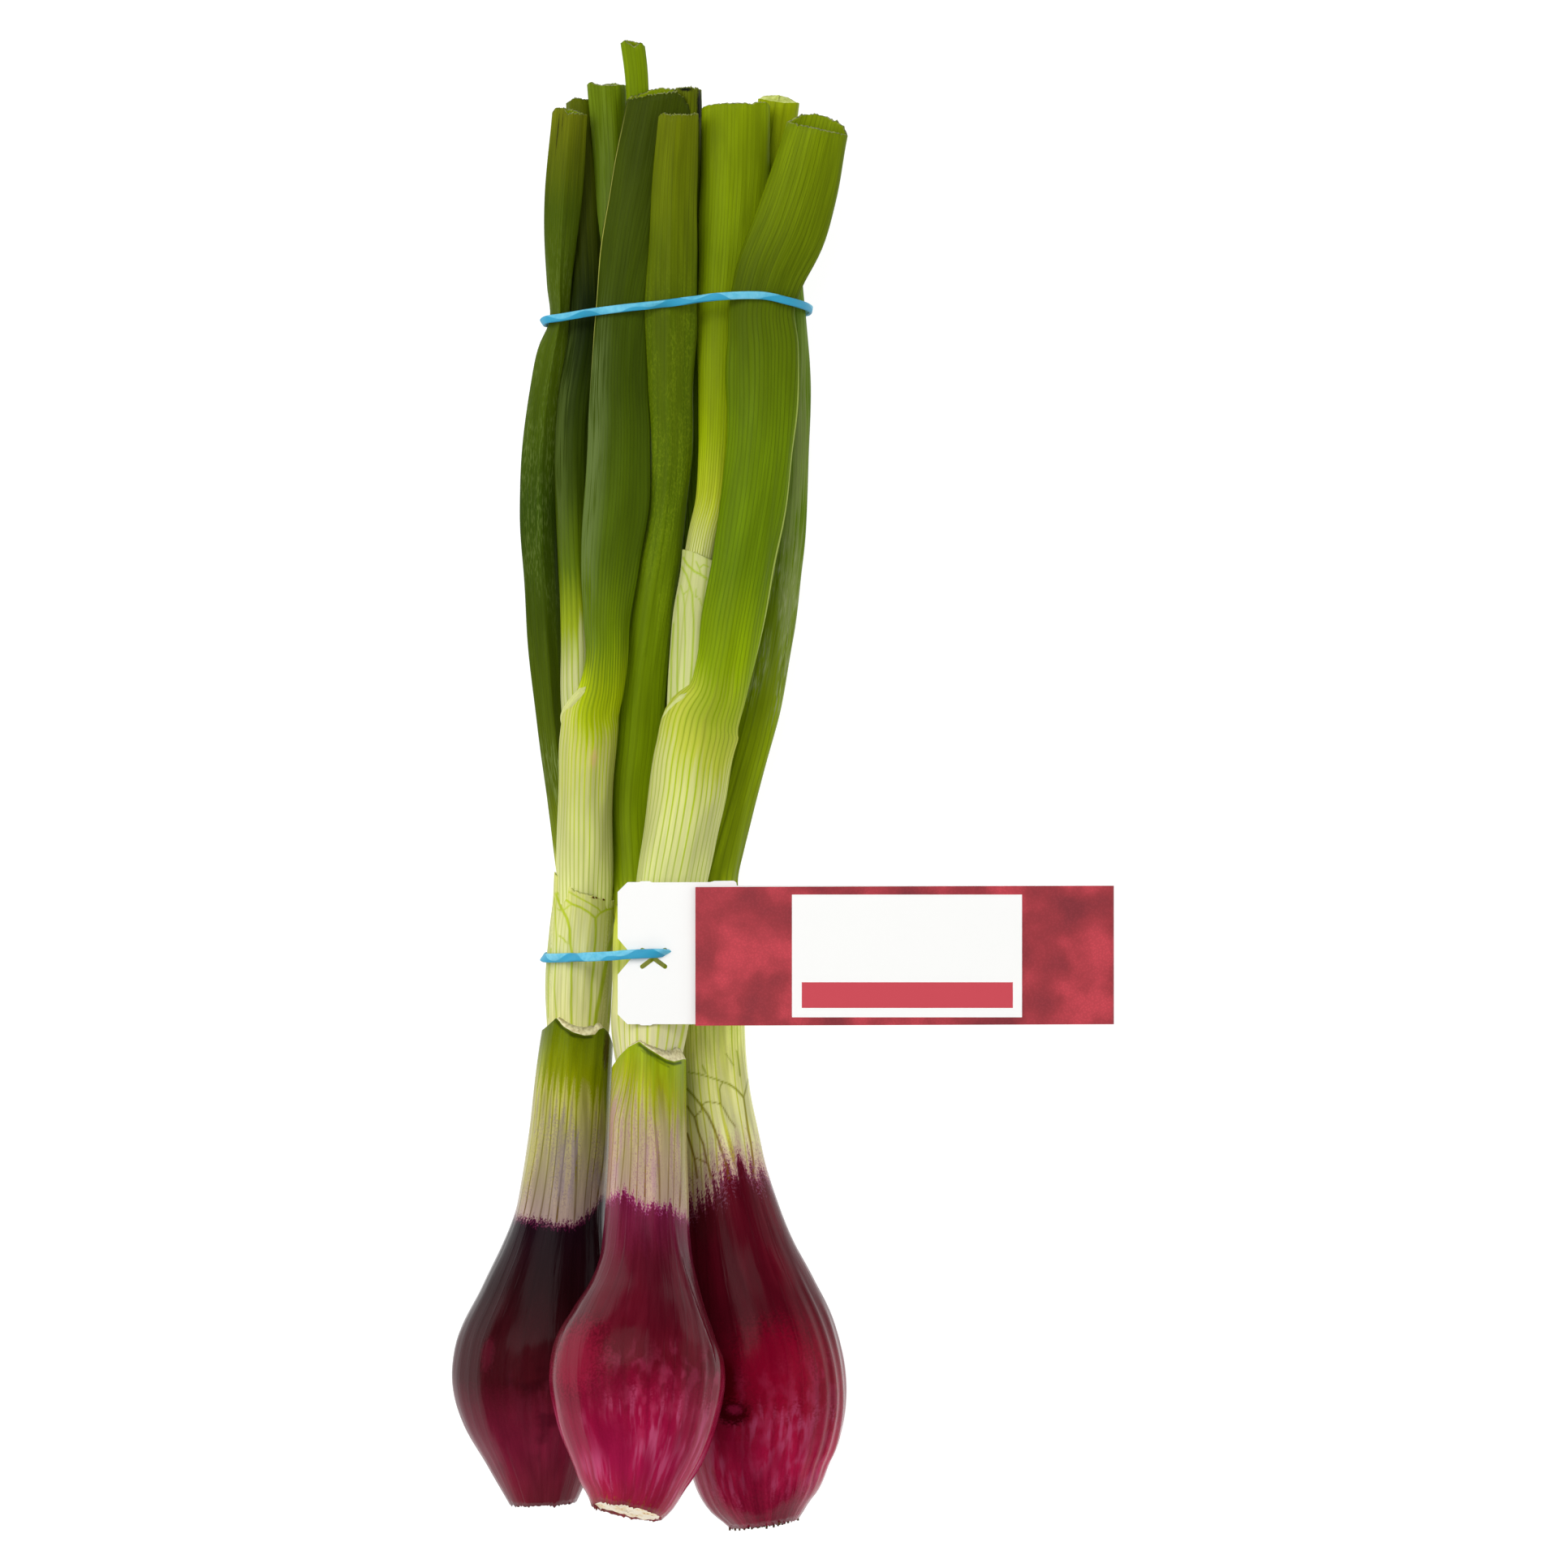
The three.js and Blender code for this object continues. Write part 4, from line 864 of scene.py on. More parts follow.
# A shaded leaf: dark green, with painted shade that makes it almost black under the band, and a thin wax that
# dulls it.
SECOND_LEAF = tissue(
    "green_leaf_with_painted_shade",
    ground=[(10, "#bec486"), (24, "#b0b276"), (34, "#8c9c18"), (46, "#526604"), (62, "#364604"),
            (104, "#142004"), (150, "#545e04")],
    stripes=[(6, "#a4b044"), (32, "#84960e")], vein_shade=0.88, girth=24.0, veins=22,
    wedge=1.4, bloom=("#56662e", 0.5, -0.9, 0.9, 40, 110))
add_leaf(
    "left_leaf_3",
    [leaf_rings(LEFT_LEAF_3, seed=7.0, blade=(20, 45), edge=0.2,
                hem=[(29, 14, [[-1.0, -1.0], [0.1, 0.0], [0.25, 8.0], [1.0, 8.0]])],
                rim={"front": [[-1.0, 148.4], [-0.5, 149.2], [1.0, 148.9]],
                     "back": [[-1.0, 148.4], [0.0, 149.6], [1.0, 148.9]]})],
    [SECOND_LEAF, LEAF_CUT, HOLLOW])
# The youngest leaf: thin, yellow at its hidden foot, and a fresh bright green above.
YOUNG_LEAF = tissue(
    "young_green_leaf", ground=[(26, "#d8d444"), (38, "#c4c42e"), (60, "#7c9404"), (162, "#6e8404")],
    vein_shade=0.74, girth=13.0, veins=14)
add_leaf(
    "left_leaf_4",
    [leaf_rings(LEFT_LEAF_4, seed=8.0, count=60, edge=0.1, wall=0.35, ragged=0.12, reach=4.0,
                rim={"front": [[-1.0, 160.8], [-0.6, 161.3], [-0.3, 160.4], [0.1, 159.7], [0.5, 160.4],
                               [0.8, 160.9], [1.0, 160.2]],
                     "back": [[-1.0, 160.8], [-0.5, 161.7], [0.0, 161.5], [0.6, 161.1], [1.0, 160.2]]})],
    [YOUNG_LEAF, LEAF_CUT, HOLLOW])

# The leaves of the middle onion.
# The oldest runs between the two striped stems. The broad, bright one bends to the right over the others, and
# two more come out of the pale inner stem.
MIDDLE_SHEATH_1 = [
    [-62.0, -29.0, 24.4, 6.6, 6.6],
    [-58.0, -29.1, 23.2, 7.5, 7.1],
    [-52.2, -29.0, 22.1, 8.4, 7.5],
    [-44.4, -28.6, 20.9, 8.6, 7.7],
    [-36.6, -28.0, 19.9, 8.9, 7.8],
    [-30.5, -27.5, 19.1, 9.1, 7.6],
    [-24.0, -28.0, 16.4, 8.3, 7.0],
]
MIDDLE_BLADE_1 = [
    [-33.0, -30.8, 15.6, 4.6, 2.6],
    [-25.0, -32.2, 13.0, 5.3, 2.8],
    [-14.8, -33.0, 10.0, 4.8, 3.4],
    [-5.1, -33.4, 8.6, 5.0, 2.8],
    [10.4, -31.9, 9.0, 5.5, 2.7],
    [20.8, -31.0, 9.8, 5.3, 2.7],
    [36.3, -29.1, 11.0, 5.0, 2.7],
    [47.4, -27.4, 11.6, 4.9, 2.7],
    [55.1, -26.1, 12.0, 4.4, 2.6],
    [70.6, -24.5, 12.6, 4.5, 2.5],
    [86.0, -24.6, 13.0, 5.1, 2.4],
    [100.4, -24.4, 13.2, 5.6, 2.3],
    [117.0, -24.1, 14.4, 5.3, 2.2],
    [129.7, -23.7, 15.5, 4.9, 2.1],
    [144.3, -22.8, 16.9, 4.4, 2.0],
]
MIDDLE_LEAF_2 = [
    [-33.0, -25.9, 19.5, 6.8, 6.8],
    [-28.0, -25.2, 19.0, 7.2, 7.2],
    [-20.7, -24.2, 18.5, 7.5, 7.5],
    [-12.1, -22.6, 18.2, 7.9, 7.3],
    [-3.0, -21.0, 18.0, 8.2, 7.0],
    [7.4, -19.4, 17.9, 8.3, 6.6],
    [14.0, -17.5, 18.1, 8.4, 6.0],
    [18.6, -14.8, 18.8, 6.7, 4.8],
    [24.9, -12.9, 19.2, 6.4, 3.8],
    [36.1, -10.9, 18.8, 6.7, 3.3],
    [50.7, -8.3, 17.6, 6.9, 3.0],
    [64.2, -6.2, 16.8, 7.3, 2.8],
    [80.6, -4.7, 16.0, 7.6, 2.5],
    [94.1, -4.5, 15.2, 7.8, 2.4],
    [103.3, -4.9, 14.8, 7.2, 2.3],
    [109.9, -3.2, 15.0, 7.6, 2.4],
    [120.1, 1.1, 15.8, 8.1, 2.5],
    [130.8, 4.6, 17.0, 7.8, 2.7],
    [141.2, 7.2, 18.3, 6.8, 3.1],
]
MIDDLE_SHEATH_3 = [
    [10.7, -20.6, 16.2, 5.0, 4.8],
    [16.8, -20.4, 15.6, 4.9, 4.6],
    [25.6, -19.8, 15.0, 5.1, 4.3],
    [36.2, -19.1, 14.4, 5.0, 4.1],
    [46.7, -17.7, 13.6, 4.7, 3.9],
    [52.0, -17.4, 13.2, 4.6, 3.8],
]
MIDDLE_BLADE_3 = [
    [36.0, -18.0, 13.0, 3.0, 2.0],
    [48.0, -15.6, 12.0, 3.4, 2.2],
    [64.6, -12.0, 8.8, 4.2, 2.8],
    [82.4, -9.2, 5.6, 4.2, 2.7],
    [101.1, -8.0, 4.4, 4.1, 2.6],
    [117.8, -5.0, 4.8, 4.2, 2.7],
    [135.4, -2.7, 5.6, 4.2, 2.7],
    [148.3, -1.2, 6.4, 4.6, 2.7],
]
MIDDLE_LEAF_4 = [
    [42.0, -18.6, 13.8, 3.6, 3.2],
    [48.5, -17.9, 13.8, 3.8, 3.2],
    [55.0, -16.7, 13.4, 4.0, 2.7],
    [60.1, -15.3, 13.0, 4.2, 2.5],
    [70.6, -14.1, 12.0, 4.6, 2.4],
    [80.8, -13.6, 11.2, 5.1, 2.2],
    [100.6, -13.0, 10.0, 5.9, 2.1],
    [117.4, -11.6, 10.2, 7.0, 2.2],
    [131.4, -10.7, 11.0, 7.6, 2.3],
    [147.7, -10.4, 12.0, 7.6, 2.5],
]
# An old leaf in the middle: soft olive green with long, faint darker blotches.
MIDDLE_OLD_LEAF = tissue(
    "olive_middle_leaf",
    ground=[(-62, "#cac49e"), (-30, "#bac230"), (-22, "#788c04"), (22, "#728a04"), (60, "#4e6204"),
            (100, "#4c5c04"), (145, "#626c04")],
    stripes=[(-66, "#b6be50"), (-30, "#a0ae14")], vein_shade=0.82, girth=36.0, veins=22, vein_share=0.32,
    wander=1.2, wedge=1.0,
    flecks=[("#3c5200", 0, 130, 0.35, 3.0, 12.0), ("#86981c", 10, 120, 0.2, 0.5, 0.7)])
add_leaf(
    "middle_leaf_1",
    [
        leaf_rings(MIDDLE_SHEATH_1, seed=9.0, reach=8.0, depth=6.0, wall=0.5,
                   rim={"front": [[-1.0, -26.0], [0.0, -29.0], [1.0, -28.0]],
                        "back": [[-1.0, -26.0], [-0.4, -24.0], [0.4, -26.0], [1.0, -28.0]]}),
        leaf_rings(MIDDLE_BLADE_1, seed=10.0, keel=0.3, keel_at=-0.1, edge=0.15, ragged=0.3,
                   rim={"front": [[-1.0, 144.1], [-0.8, 144.8], [-0.4, 144.3], [0.0, 144.4], [0.6, 144.4],
                                  [1.0, 144.8]],
                        "back": [[-1.0, 144.1], [-0.5, 145.0], [0.5, 145.0], [1.0, 144.8]]}),
    ],
    [MIDDLE_OLD_LEAF, LEAF_CUT, HOLLOW])
# A broad, well lit leaf: an ivory sheath with green stripes, under a bright green blade with a pale edge.
BROAD_LEAF = tissue(
    "bright_green_leaf",
    ground=[(-33, "#ccd08c"), (-5, "#c4c67c"), (6, "#acb23c"), (24, "#809804"), (45, "#5e7804"),
            (75, "#5c7404"), (105, "#4a5a04"), (142, "#6e8004")],
    stripes=[(-36, "#a8b844"), (8, "#92a80c")], vein_shade=0.74, girth=44.0, veins=36, vein_share=0.32,
    jag=4.5, edge_lines=[("#a2b250", 0.303, 0.42, 14, 108)])
MIDDLE_LIP = [
    [11.4, -26.2, 17.2, 0.8, 0.4],
    [13.5, -25.7, 18.6, 0.9, 0.5],
    [15.6, -24.4, 20.2, 1.1, 0.6],
    [17.7, -22.4, 21.5, 1.1, 0.5],
    [19.6, -20.9, 21.8, 0.8, 0.4],
]
add_leaf(
    "middle_leaf_2",
    [lip_rings(MIDDLE_LIP, 46.0),
     leaf_rings(MIDDLE_LEAF_2, seed=11.0, blade=(12, 36), edge=0.45, reach=9.0, ragged=0.2,
                slant=(0.06, 9, 28),
                hem=[(11, 16, [[-1.0, 8.0], [-0.6, 6.0], [-0.4, 1.0], [0.3, 0.0], [0.8, -2.0], [1.0, 2.0]])],
                rim={"front": [[-1.0, 142.9], [-0.6, 141.9], [-0.1, 141.2], [0.45, 140.3], [1.0, 139.9]],
                     "back": [[-1.0, 142.9], [-0.65, 144.8], [-0.3, 145.0], [0.1, 144.6], [0.5, 143.6],
                              [0.8, 142.3], [1.0, 139.9]]})],
    [BROAD_LEAF, LEAF_CUT, HOLLOW])
# The inner stem: blanched, silky flesh with a few green veins, turning bright green above its collar.
INNER_STEM = tissue(
    "pale_inner_stem",
    ground=[(10, "#c4c888"), (48, "#b8bc7c"), (56, "#a8b84a"), (70, "#7a9208"), (149, "#8c9a04")],
    stripes=[(6, "#b4be66"), (54, "#a4ae50")], vein_shade=0.72, girth=30.0, veins=14, vein_share=0.26,
    wander=1.2, wedge=1.0, contrast=0.07, patches=0.08,
    threads=[(10, "#a0b43c"), (54, "#9cb030")])
INNER_VEINS = [
    (0.22, [[-21.8, 49.0], [-20.9, 47.4], [-19.3, 45.9], [-17.9, 45.2], [-16.6, 44.3]]),
    (0.13, [[-17.9, 45.2], [-18.3, 46.6], [-19.0, 48.1]]),
    (0.13, [[-18.3, 46.6], [-17.4, 47.4], [-16.3, 46.9]]),
    (0.2, [[-22.2, 47.1], [-21.1, 45.2], [-20.3, 42.8], [-19.8, 41.0], [-19.7, 38.5], [-19.5, 35.3],
           [-19.5, 33.2], [-19.8, 26.8], [-20.3, 20.0]]),
    (0.13, [[-22.3, 42.8], [-21.8, 41.0], [-21.5, 38.5], [-21.4, 34.8], [-21.3, 30.8], [-21.5, 25.4],
            [-21.7, 20.6], [-21.9, 17.0]]),
    (0.1, [[-21.8, 41.0], [-20.7, 41.8]]),
    (0.17, [[-23.0, 40.7], [-22.9, 37.5], [-22.9, 33.2], [-23.0, 28.1], [-23.1, 22.7], [-23.0, 19.0],
            [-23.4, 15.0]]),
    (0.11, [[-19.3, 40.7], [-18.2, 39.9], [-17.7, 38.5]]),
    (0.11, [[-19.0, 42.0], [-19.1, 40.7]]),
    (0.15, [[-23.9, 34.8], [-24.1, 30.8], [-24.4, 26.8], [-24.4, 21.9], [-24.5, 18.0]]),
    (0.13, [[-25.0, 24.0], [-25.3, 20.1], [-25.5, 16.6]]),
]
add_leaf(
    "middle_leaf_3",
    [
        leaf_rings(MIDDLE_SHEATH_3, seed=12.0, reach=8.0, depth=3.0, wall=0.15, ragged=0.1,
                   bevel=0.1, uneven=0.02, count=140, step=0.4,
                   rim={"front": [[-1.0, 50.8], [-0.5, 50.2], [0.4, 48.4], [1.0, 47.0]],
                        "back": [[-1.0, 50.8], [0.0, 50.0], [1.0, 47.0]]}),
        leaf_rings(MIDDLE_BLADE_3, seed=13.0, edge=0.0, depth=0.0, ragged=0.05, wall=0.3, reach=5.0,
                   rim={"front": [[-1.0, 149.2], [-0.4, 148.5], [0.3, 148.0], [1.0, 148.2]],
                        "back": [[-1.0, 149.2], [-0.7, 150.1], [-0.2, 150.3], [0.4, 149.8], [1.0, 148.2]]}),
    ],
    [INNER_STEM, PALE_CUT, HOLLOW], INNER_VEINS)
# A leaf just out of its stem: pale with dark stripes low down, and bright, close veined green above.
STRIPED_LEAF = tissue(
    "striped_bright_leaf",
    ground=[(42, "#c4ca8a"), (50, "#b4b66e"), (60, "#a4ae24"), (74, "#849604"), (115, "#6c8004"),
            (148, "#788a04")],
    stripes=[(38, "#687008"), (56, "#809008")], girth=34.0, veins=40, vein_share=0.32, wander=0.6,
    wedge=3.0)
add_leaf(
    "middle_leaf_4",
    [leaf_rings(MIDDLE_LEAF_4, seed=14.0, edge=0.4, reach=5.0, ragged=0.12,
                rim={"front": [[-1.0, 146.5], [-0.9, 146.9], [-0.65, 147.2], [0.3, 147.3], [0.5, 147.1],
                               [0.62, 147.6], [0.9, 147.7], [1.0, 146.8]],
                     "back": [[-1.0, 146.5], [0.0, 147.6], [1.0, 146.8]]})],
    [STRIPED_LEAF, LEAF_CUT, HOLLOW])

# The leaves of the right onion.
# A grey green leaf whose wax is rubbed off in patches, a bluish hollow leaf that crosses behind to the left,
# and one more behind the middle onion's leaves.
RIGHT_LEAF_1 = [
    [-52.2, -16.4, 9.7, 6.7, 6.7],
    [-46.6, -16.3, 9.2, 7.3, 7.3],
    [-36.9, -16.2, 8.9, 7.4, 7.4],
    [-29.0, -16.1, 8.2, 6.9, 6.3],
    [-21.0, -16.2, 7.6, 6.1, 5.2],
    [-13.1, -14.3, 7.4, 5.7, 4.2],
    [-6.0, -12.3, 7.3, 5.4, 3.6],
    [11.7, -7.4, 7.6, 5.5, 3.1],
    [29.3, -3.8, 8.2, 5.4, 3.0],
    [46.9, -1.4, 8.8, 5.3, 3.0],
    [64.6, 0.2, 9.0, 5.1, 3.0],
    [82.2, 0.8, 8.8, 4.9, 3.1],
    [95.5, 0.9, 8.4, 4.4, 3.2],
    [100.8, 0.8, 8.2, 4.0, 3.3],
    [108.7, -0.2, 8.0, 4.2, 3.1],
    [121.0, 0.5, 8.6, 4.2, 2.8],
    [135.1, 1.8, 9.6, 4.2, 2.5],
]
RIGHT_LEAF_2 = [
    [-18.0, -17.4, 7.6, 4.0, 3.4],
    [-6.0, -18.6, 6.8, 4.3, 3.4],
    [1.1, -20.0, 6.0, 4.4, 3.2],
    [11.7, -23.2, 5.0, 4.4, 3.0],
    [29.4, -26.7, 4.3, 4.4, 2.8],
    [47.1, -29.7, 4.0, 4.4, 2.8],
    [64.8, -32.4, 3.8, 4.4, 2.8],
    [82.5, -34.7, 3.8, 4.4, 2.8],
    [101.1, -36.5, 4.2, 4.4, 2.8],
    [117.8, -37.1, 5.2, 4.2, 2.9],
    [135.4, -37.6, 6.4, 3.9, 3.0],
    [152.6, -38.7, 7.5, 4.1, 3.1],
]
RIGHT_LEAF_3 = [
    [-6.0, -17.6, 6.8, 2.6, 2.4],
    [4.6, -17.4, 6.3, 3.2, 2.7],
    [11.7, -18.0, 5.9, 3.5, 2.9],
    [29.4, -20.0, 5.3, 4.2, 3.0],
    [47.1, -21.4, 5.0, 4.6, 3.0],
    [64.8, -22.3, 4.8, 5.0, 3.0],
    [82.4, -22.6, 4.8, 5.3, 3.0],
    [101.0, -22.6, 5.0, 5.4, 2.9],
    [117.7, -22.1, 6.8, 4.8, 2.8],
    [135.1, -21.4, 9.0, 3.8, 2.6],
    [151.2, -20.7, 10.8, 2.9, 2.5],
]
# A waxy leaf: matt green under a grey wax that handling has rubbed off in streaks.
WAXY_LEAF = tissue(
    "waxy_grey_green_leaf",
    ground=[(-52, "#bcc018"), (-30, "#a0aa0c"), (-20, "#7a8c04"), (20, "#788c04"), (60, "#607e04"),
            (135, "#567208")],
    vein_shade=0.72, girth=34.0, veins=22, patches=0.15, roughness=0.55,
    flecks=[("#a4ae7c", 12, 58, 0.75, 0.35, 3.2), ("#4a5c08", 10, 100, 0.4, 2.0, 8.0)],
    bloom=("#7c8850", 0.7, 0.7, 1.3, 14, 110))
add_leaf(
    "right_leaf_1",
    [leaf_rings(RIGHT_LEAF_1, seed=15.0, blade=(-20, 10), edge=0.2,
                rim={"front": [[-1.0, 134.6], [0.0, 134.9], [1.0, 134.4]],
                     "back": [[-1.0, 134.6], [0.0, 135.4], [1.0, 134.4]]})],
    [WAXY_LEAF, LEAF_CUT, HOLLOW])
# A hollow leaf behind: dark green that its wax turns a little blue.
BLUISH_LEAF = tissue(
    "bluish_green_leaf", ground=[(-18, "#9c9e30"), (30, "#4e6410"), (90, "#425c14"), (153, "#607404")],
    vein_shade=0.74, girth=26.0, veins=22, bloom=("#6c7c3c", 0.35, -0.3, 0.9, 60, 160))
add_leaf(
    "right_leaf_2",
    [leaf_rings(RIGHT_LEAF_2, seed=16.0, edge=0.0, reach=5.0, ragged=0.1, wall=0.5,
                rim={"front": [[-1.0, 152.0], [-0.85, 152.5], [-0.65, 151.9], [-0.3, 151.6], [0.3, 151.6],
                               [0.8, 151.9], [1.0, 152.0]],
                     "back": [[-1.0, 152.0], [-0.5, 152.2], [0.0, 152.7], [0.5, 152.8], [1.0, 152.0]]})],
    [BLUISH_LEAF, LEAF_CUT, HOLLOW])
# A leaf behind the others: plain dull green, with near black painted shade at its tip, where the leaves in
# front shade it.
BACK_LEAF = tissue(
    "shaded_green_leaf", ground=[(-6, "#bec424"), (30, "#5e7c06"), (151, "#586204")],
    vein_shade=0.62, girth=28.0, veins=24,
    # Both spots are near black painted shade at the tip.
    spots=[("#14180a", 0.17, 147.5, 1.9, 4.6, 1.3), ("#14180a", -0.04, 150.9, 3.4, 0.8, 1.1)])
add_leaf(
    "right_leaf_3",
    [leaf_rings(RIGHT_LEAF_3, seed=17.0, edge=0.2, reach=4.0,
                rim={"front": [[-1.0, 150.8], [0.0, 150.9], [1.0, 150.6]],
                     "back": [[-1.0, 150.8], [0.0, 151.4], [1.0, 150.6]]})],
    [BACK_LEAF, LEAF_CUT, HOLLOW])

# The rubber bands.
# Two flat blue bands cut from a rubber tube: one is stretched round the leaves, and one round the stems and
# through the tag's slit. Each lies on what it holds and is slightly twisted.
BAND_THICKNESS = 0.8
# Outlines run clockwise from underneath: x, z, y.
UPPER_BAND = [
    [-22.0, 0.75, 101.8], [-36.5, 0.75, 101.0], [-43.0, 2.0, 100.6], [-49.2, 4.2, 100.3],
    [-51.7, 6.1, 100.3], [-52.4, 8.6, 100.4], [-51.4, 11.6, 100.8], [-48.4, 12.9, 101.1],
    [-42.0, 14.3, 102.1], [-35.0, 15.6, 102.9], [-24.4, 16.6, 104.0], [-14.0, 17.5, 105.3],
    [-5.0, 18.1, 105.5], [0.6, 17.4, 104.4], [3.8, 15.2, 103.7], [5.4, 11.8, 103.3],
    [5.8, 8.2, 103.0], [4.8, 4.8, 102.8], [1.2, 3.0, 102.6], [-8.0, 1.0, 102.3],
]
LOWER_BAND = [
    [-23.0, 0.9, -36.8], [-34.0, 2.9, -37.0], [-44.2, 5.0, -37.2], [-49.4, 7.3, -37.4],
    [-51.6, 10.0, -37.5], [-52.1, 13.0, -37.6], [-51.2, 16.9, -37.6], [-48.6, 19.9, -37.5],
    [-43.0, 24.4, -37.2], [-36.8, 29.6, -36.8], [-34.0, 31.2, -36.5], [-27.2, 31.25, -36.2],
    [-25.3, 30.2, -36.2], [-23.2, 28.4, -36.4], [-19.4, 25.2, -36.6], [-14.0, 19.0, -36.6],
    [-9.6, 13.6, -36.6], [-7.9, 9.0, -36.6], [-9.6, 3.9, -36.6], [-15.6, 0.75, -36.6],
]


def closed_curve(outline, count):
    """Evenly spaced points on a smooth closed curve through the outline, and the direction at each."""
    knots = np.array(outline)
    samples = []
    for i in range(len(knots)):
        a, b, c, d = (knots[(i + k) % len(knots)] for k in (-1, 0, 1, 2))
        for t in np.linspace(0, 1, 24, endpoint=False):
            bent = 2 * a - 5 * b + 4 * c - d + t * (3 * (b - c) + d - a)
            samples.append(b + 0.5 * t * (c - a + t * bent))
    samples = np.array(samples)
    closed = np.vstack([samples, samples[:1]])
    arc = np.concatenate([[0.0], np.cumsum(np.linalg.norm(np.diff(closed, axis=0), axis=1))])
    reached = np.arange(count) / count * arc[-1]
    points = np.stack([np.interp(reached, arc, closed[:, k]) for k in (0, 2, 1)], axis=-1)
    along = np.roll(points, -1, axis=0) - np.roll(points, 1, axis=0)
    return points, along / np.linalg.norm(along, axis=1, keepdims=True)


def rubber():
    """Dyed natural rubber: matt with a faint powder, and painted shade darkens the facets that turn away as
    it twists.
    """
    material = new_material("blue_natural_rubber")
    tree = material.node_tree
    place_at = add(tree, "TexCoord", {}, out=3)
    powder = add(tree, "TexNoise", {"Vector": place_at, "Scale": 900.0, "Detail": 4.0})
    cloud = add(tree, "TexNoise", {"Vector": place_at, "Scale": 140.0, "Detail": 2.0})
    both = add(tree, "Math", {0: powder, 1: cloud}, **TIMES)
    colour = add(tree, "ValToRGB", {"Fac": both},
                 stops=[(0.1, "#4aa8c8"), (0.25, "#64b9d4"), (0.42, "#80c8de")])
    strand = add(tree, "Attribute", {}, out=1, attribute_name="strand")
    across, length, _ = add(tree, "SeparateXYZ", {0: strand}).node.outputs
    lengthwise = add(tree, "CombineXYZ", {0: length})
    # Painted shade: the facet that turns away as the band twists is mixed darker.
    fold = add(tree, "TexNoise", {"Vector": lengthwise, "Scale": 0.07, "Detail": 1.0})
    crease = add(tree, "MapRange", {0: fold, 1: 0.36, 2: 0.64, 3: -1.5, 4: 1.5}, **SMOOTH)
    beyond = add(tree, "Math", {0: across, 1: crease}, operation="SUBTRACT")
    facet = add(tree, "MapRange", {0: beyond, 1: -0.12, 2: 0.12}, **SMOOTH)
    colour = add(tree, "Mix", {0: facet, 6: colour, 7: srgb("#2f96ba")}, **RGBA)
    bump = add(tree, "Bump", {"Height": powder, "Strength": 0.6, "Distance": 0.00006})
    shader = add(tree, "BsdfPrincipled", {"Base Color": colour, "Roughness": 0.55, "Normal": bump,
                                          "Subsurface Weight": 0.15, "Subsurface Scale": 0.001})
    add(tree, "OutputMaterial", {"Surface": shader})
    return material


def add_band(node, outline, wide, twist, seed, count=420, sides=16):
    """A closed band whose flat section leans this way and that as it lies."""
    points, along = closed_curve(outline, count)
    angle = np.arange(sides) / sides * 2 * math.pi
    broad = np.sign(np.cos(angle)) * np.abs(np.cos(angle)) ** 0.45 * wide / 2
    thin = np.sign(np.sin(angle)) * np.abs(np.sin(angle)) ** 0.45 * BAND_THICKNESS / 2
    spacing = float(np.linalg.norm(points[1] - points[0]))
    rings = []
    for number in range(count):
        turn = 2 * math.pi * number / count
        lean = twist * noise.noise(Vector((2.5 * math.cos(turn), 2.5 * math.sin(turn), seed)))
        outward = np.cross([0.0, 1.0, 0.0], along[number])
        outward = outward / np.linalg.norm(outward)
        flat = np.cross(outward, along[number])
        across = math.cos(lean) * flat + math.sin(lean) * outward
        up = math.cos(lean) * outward - math.sin(lean) * flat
        ring = points[number] + broad[:, None] * across + thin[:, None] * up
        marks = np.stack([broad * 2 / wide, np.full(sides, number * spacing), thin], axis=-1)
        rings.append((ring, marks, 0))
    band = bmesh.new()
    loft(band, rings, closed=True)
    return finish_piece(band, node, [RUBBER])


RUBBER = rubber()
add_band("upper_band", UPPER_BAND, wide=1.7, twist=1.2, seed=1.0)
add_band("lower_band", LOWER_BAND, wide=2.0, twist=1.4, seed=2.0)

# The hang tag.
# White card folded back on itself at its right end: the band passes through the crossed slit in its back
# leaf, beside a notch, and its front leaf is printed red round a bare white panel and a bare bar.
CARD = 0.4
FOLD_GAP = 0.5
TAG = {"left": -35.6, "panel_left": -18.95, "right": 70.6, "bottom": -51.4, "top": -21.0, "panel_top": -21.75,
       "z": 30.0}
TAB_END = -10.1
TAG_CORNER = 2.1
PANEL = (1.7, 50.9, -49.9, -23.65)  # left, right, bottom, top
BAR = (3.8, 48.95, -47.9, -42.4)
FRONT_STEPS = 4  # lengths that the front leaf is made in
FRONT_DRIFT = 0.3  # how far its free end slips towards the roots
NOTCH = {"y": -36.9, "depth": 3.3, "half_height": 3.9}
SLIT = {"x": -27.9, "y": -37.3, "length": 6.0, "width": 1.0, "angle": 36}


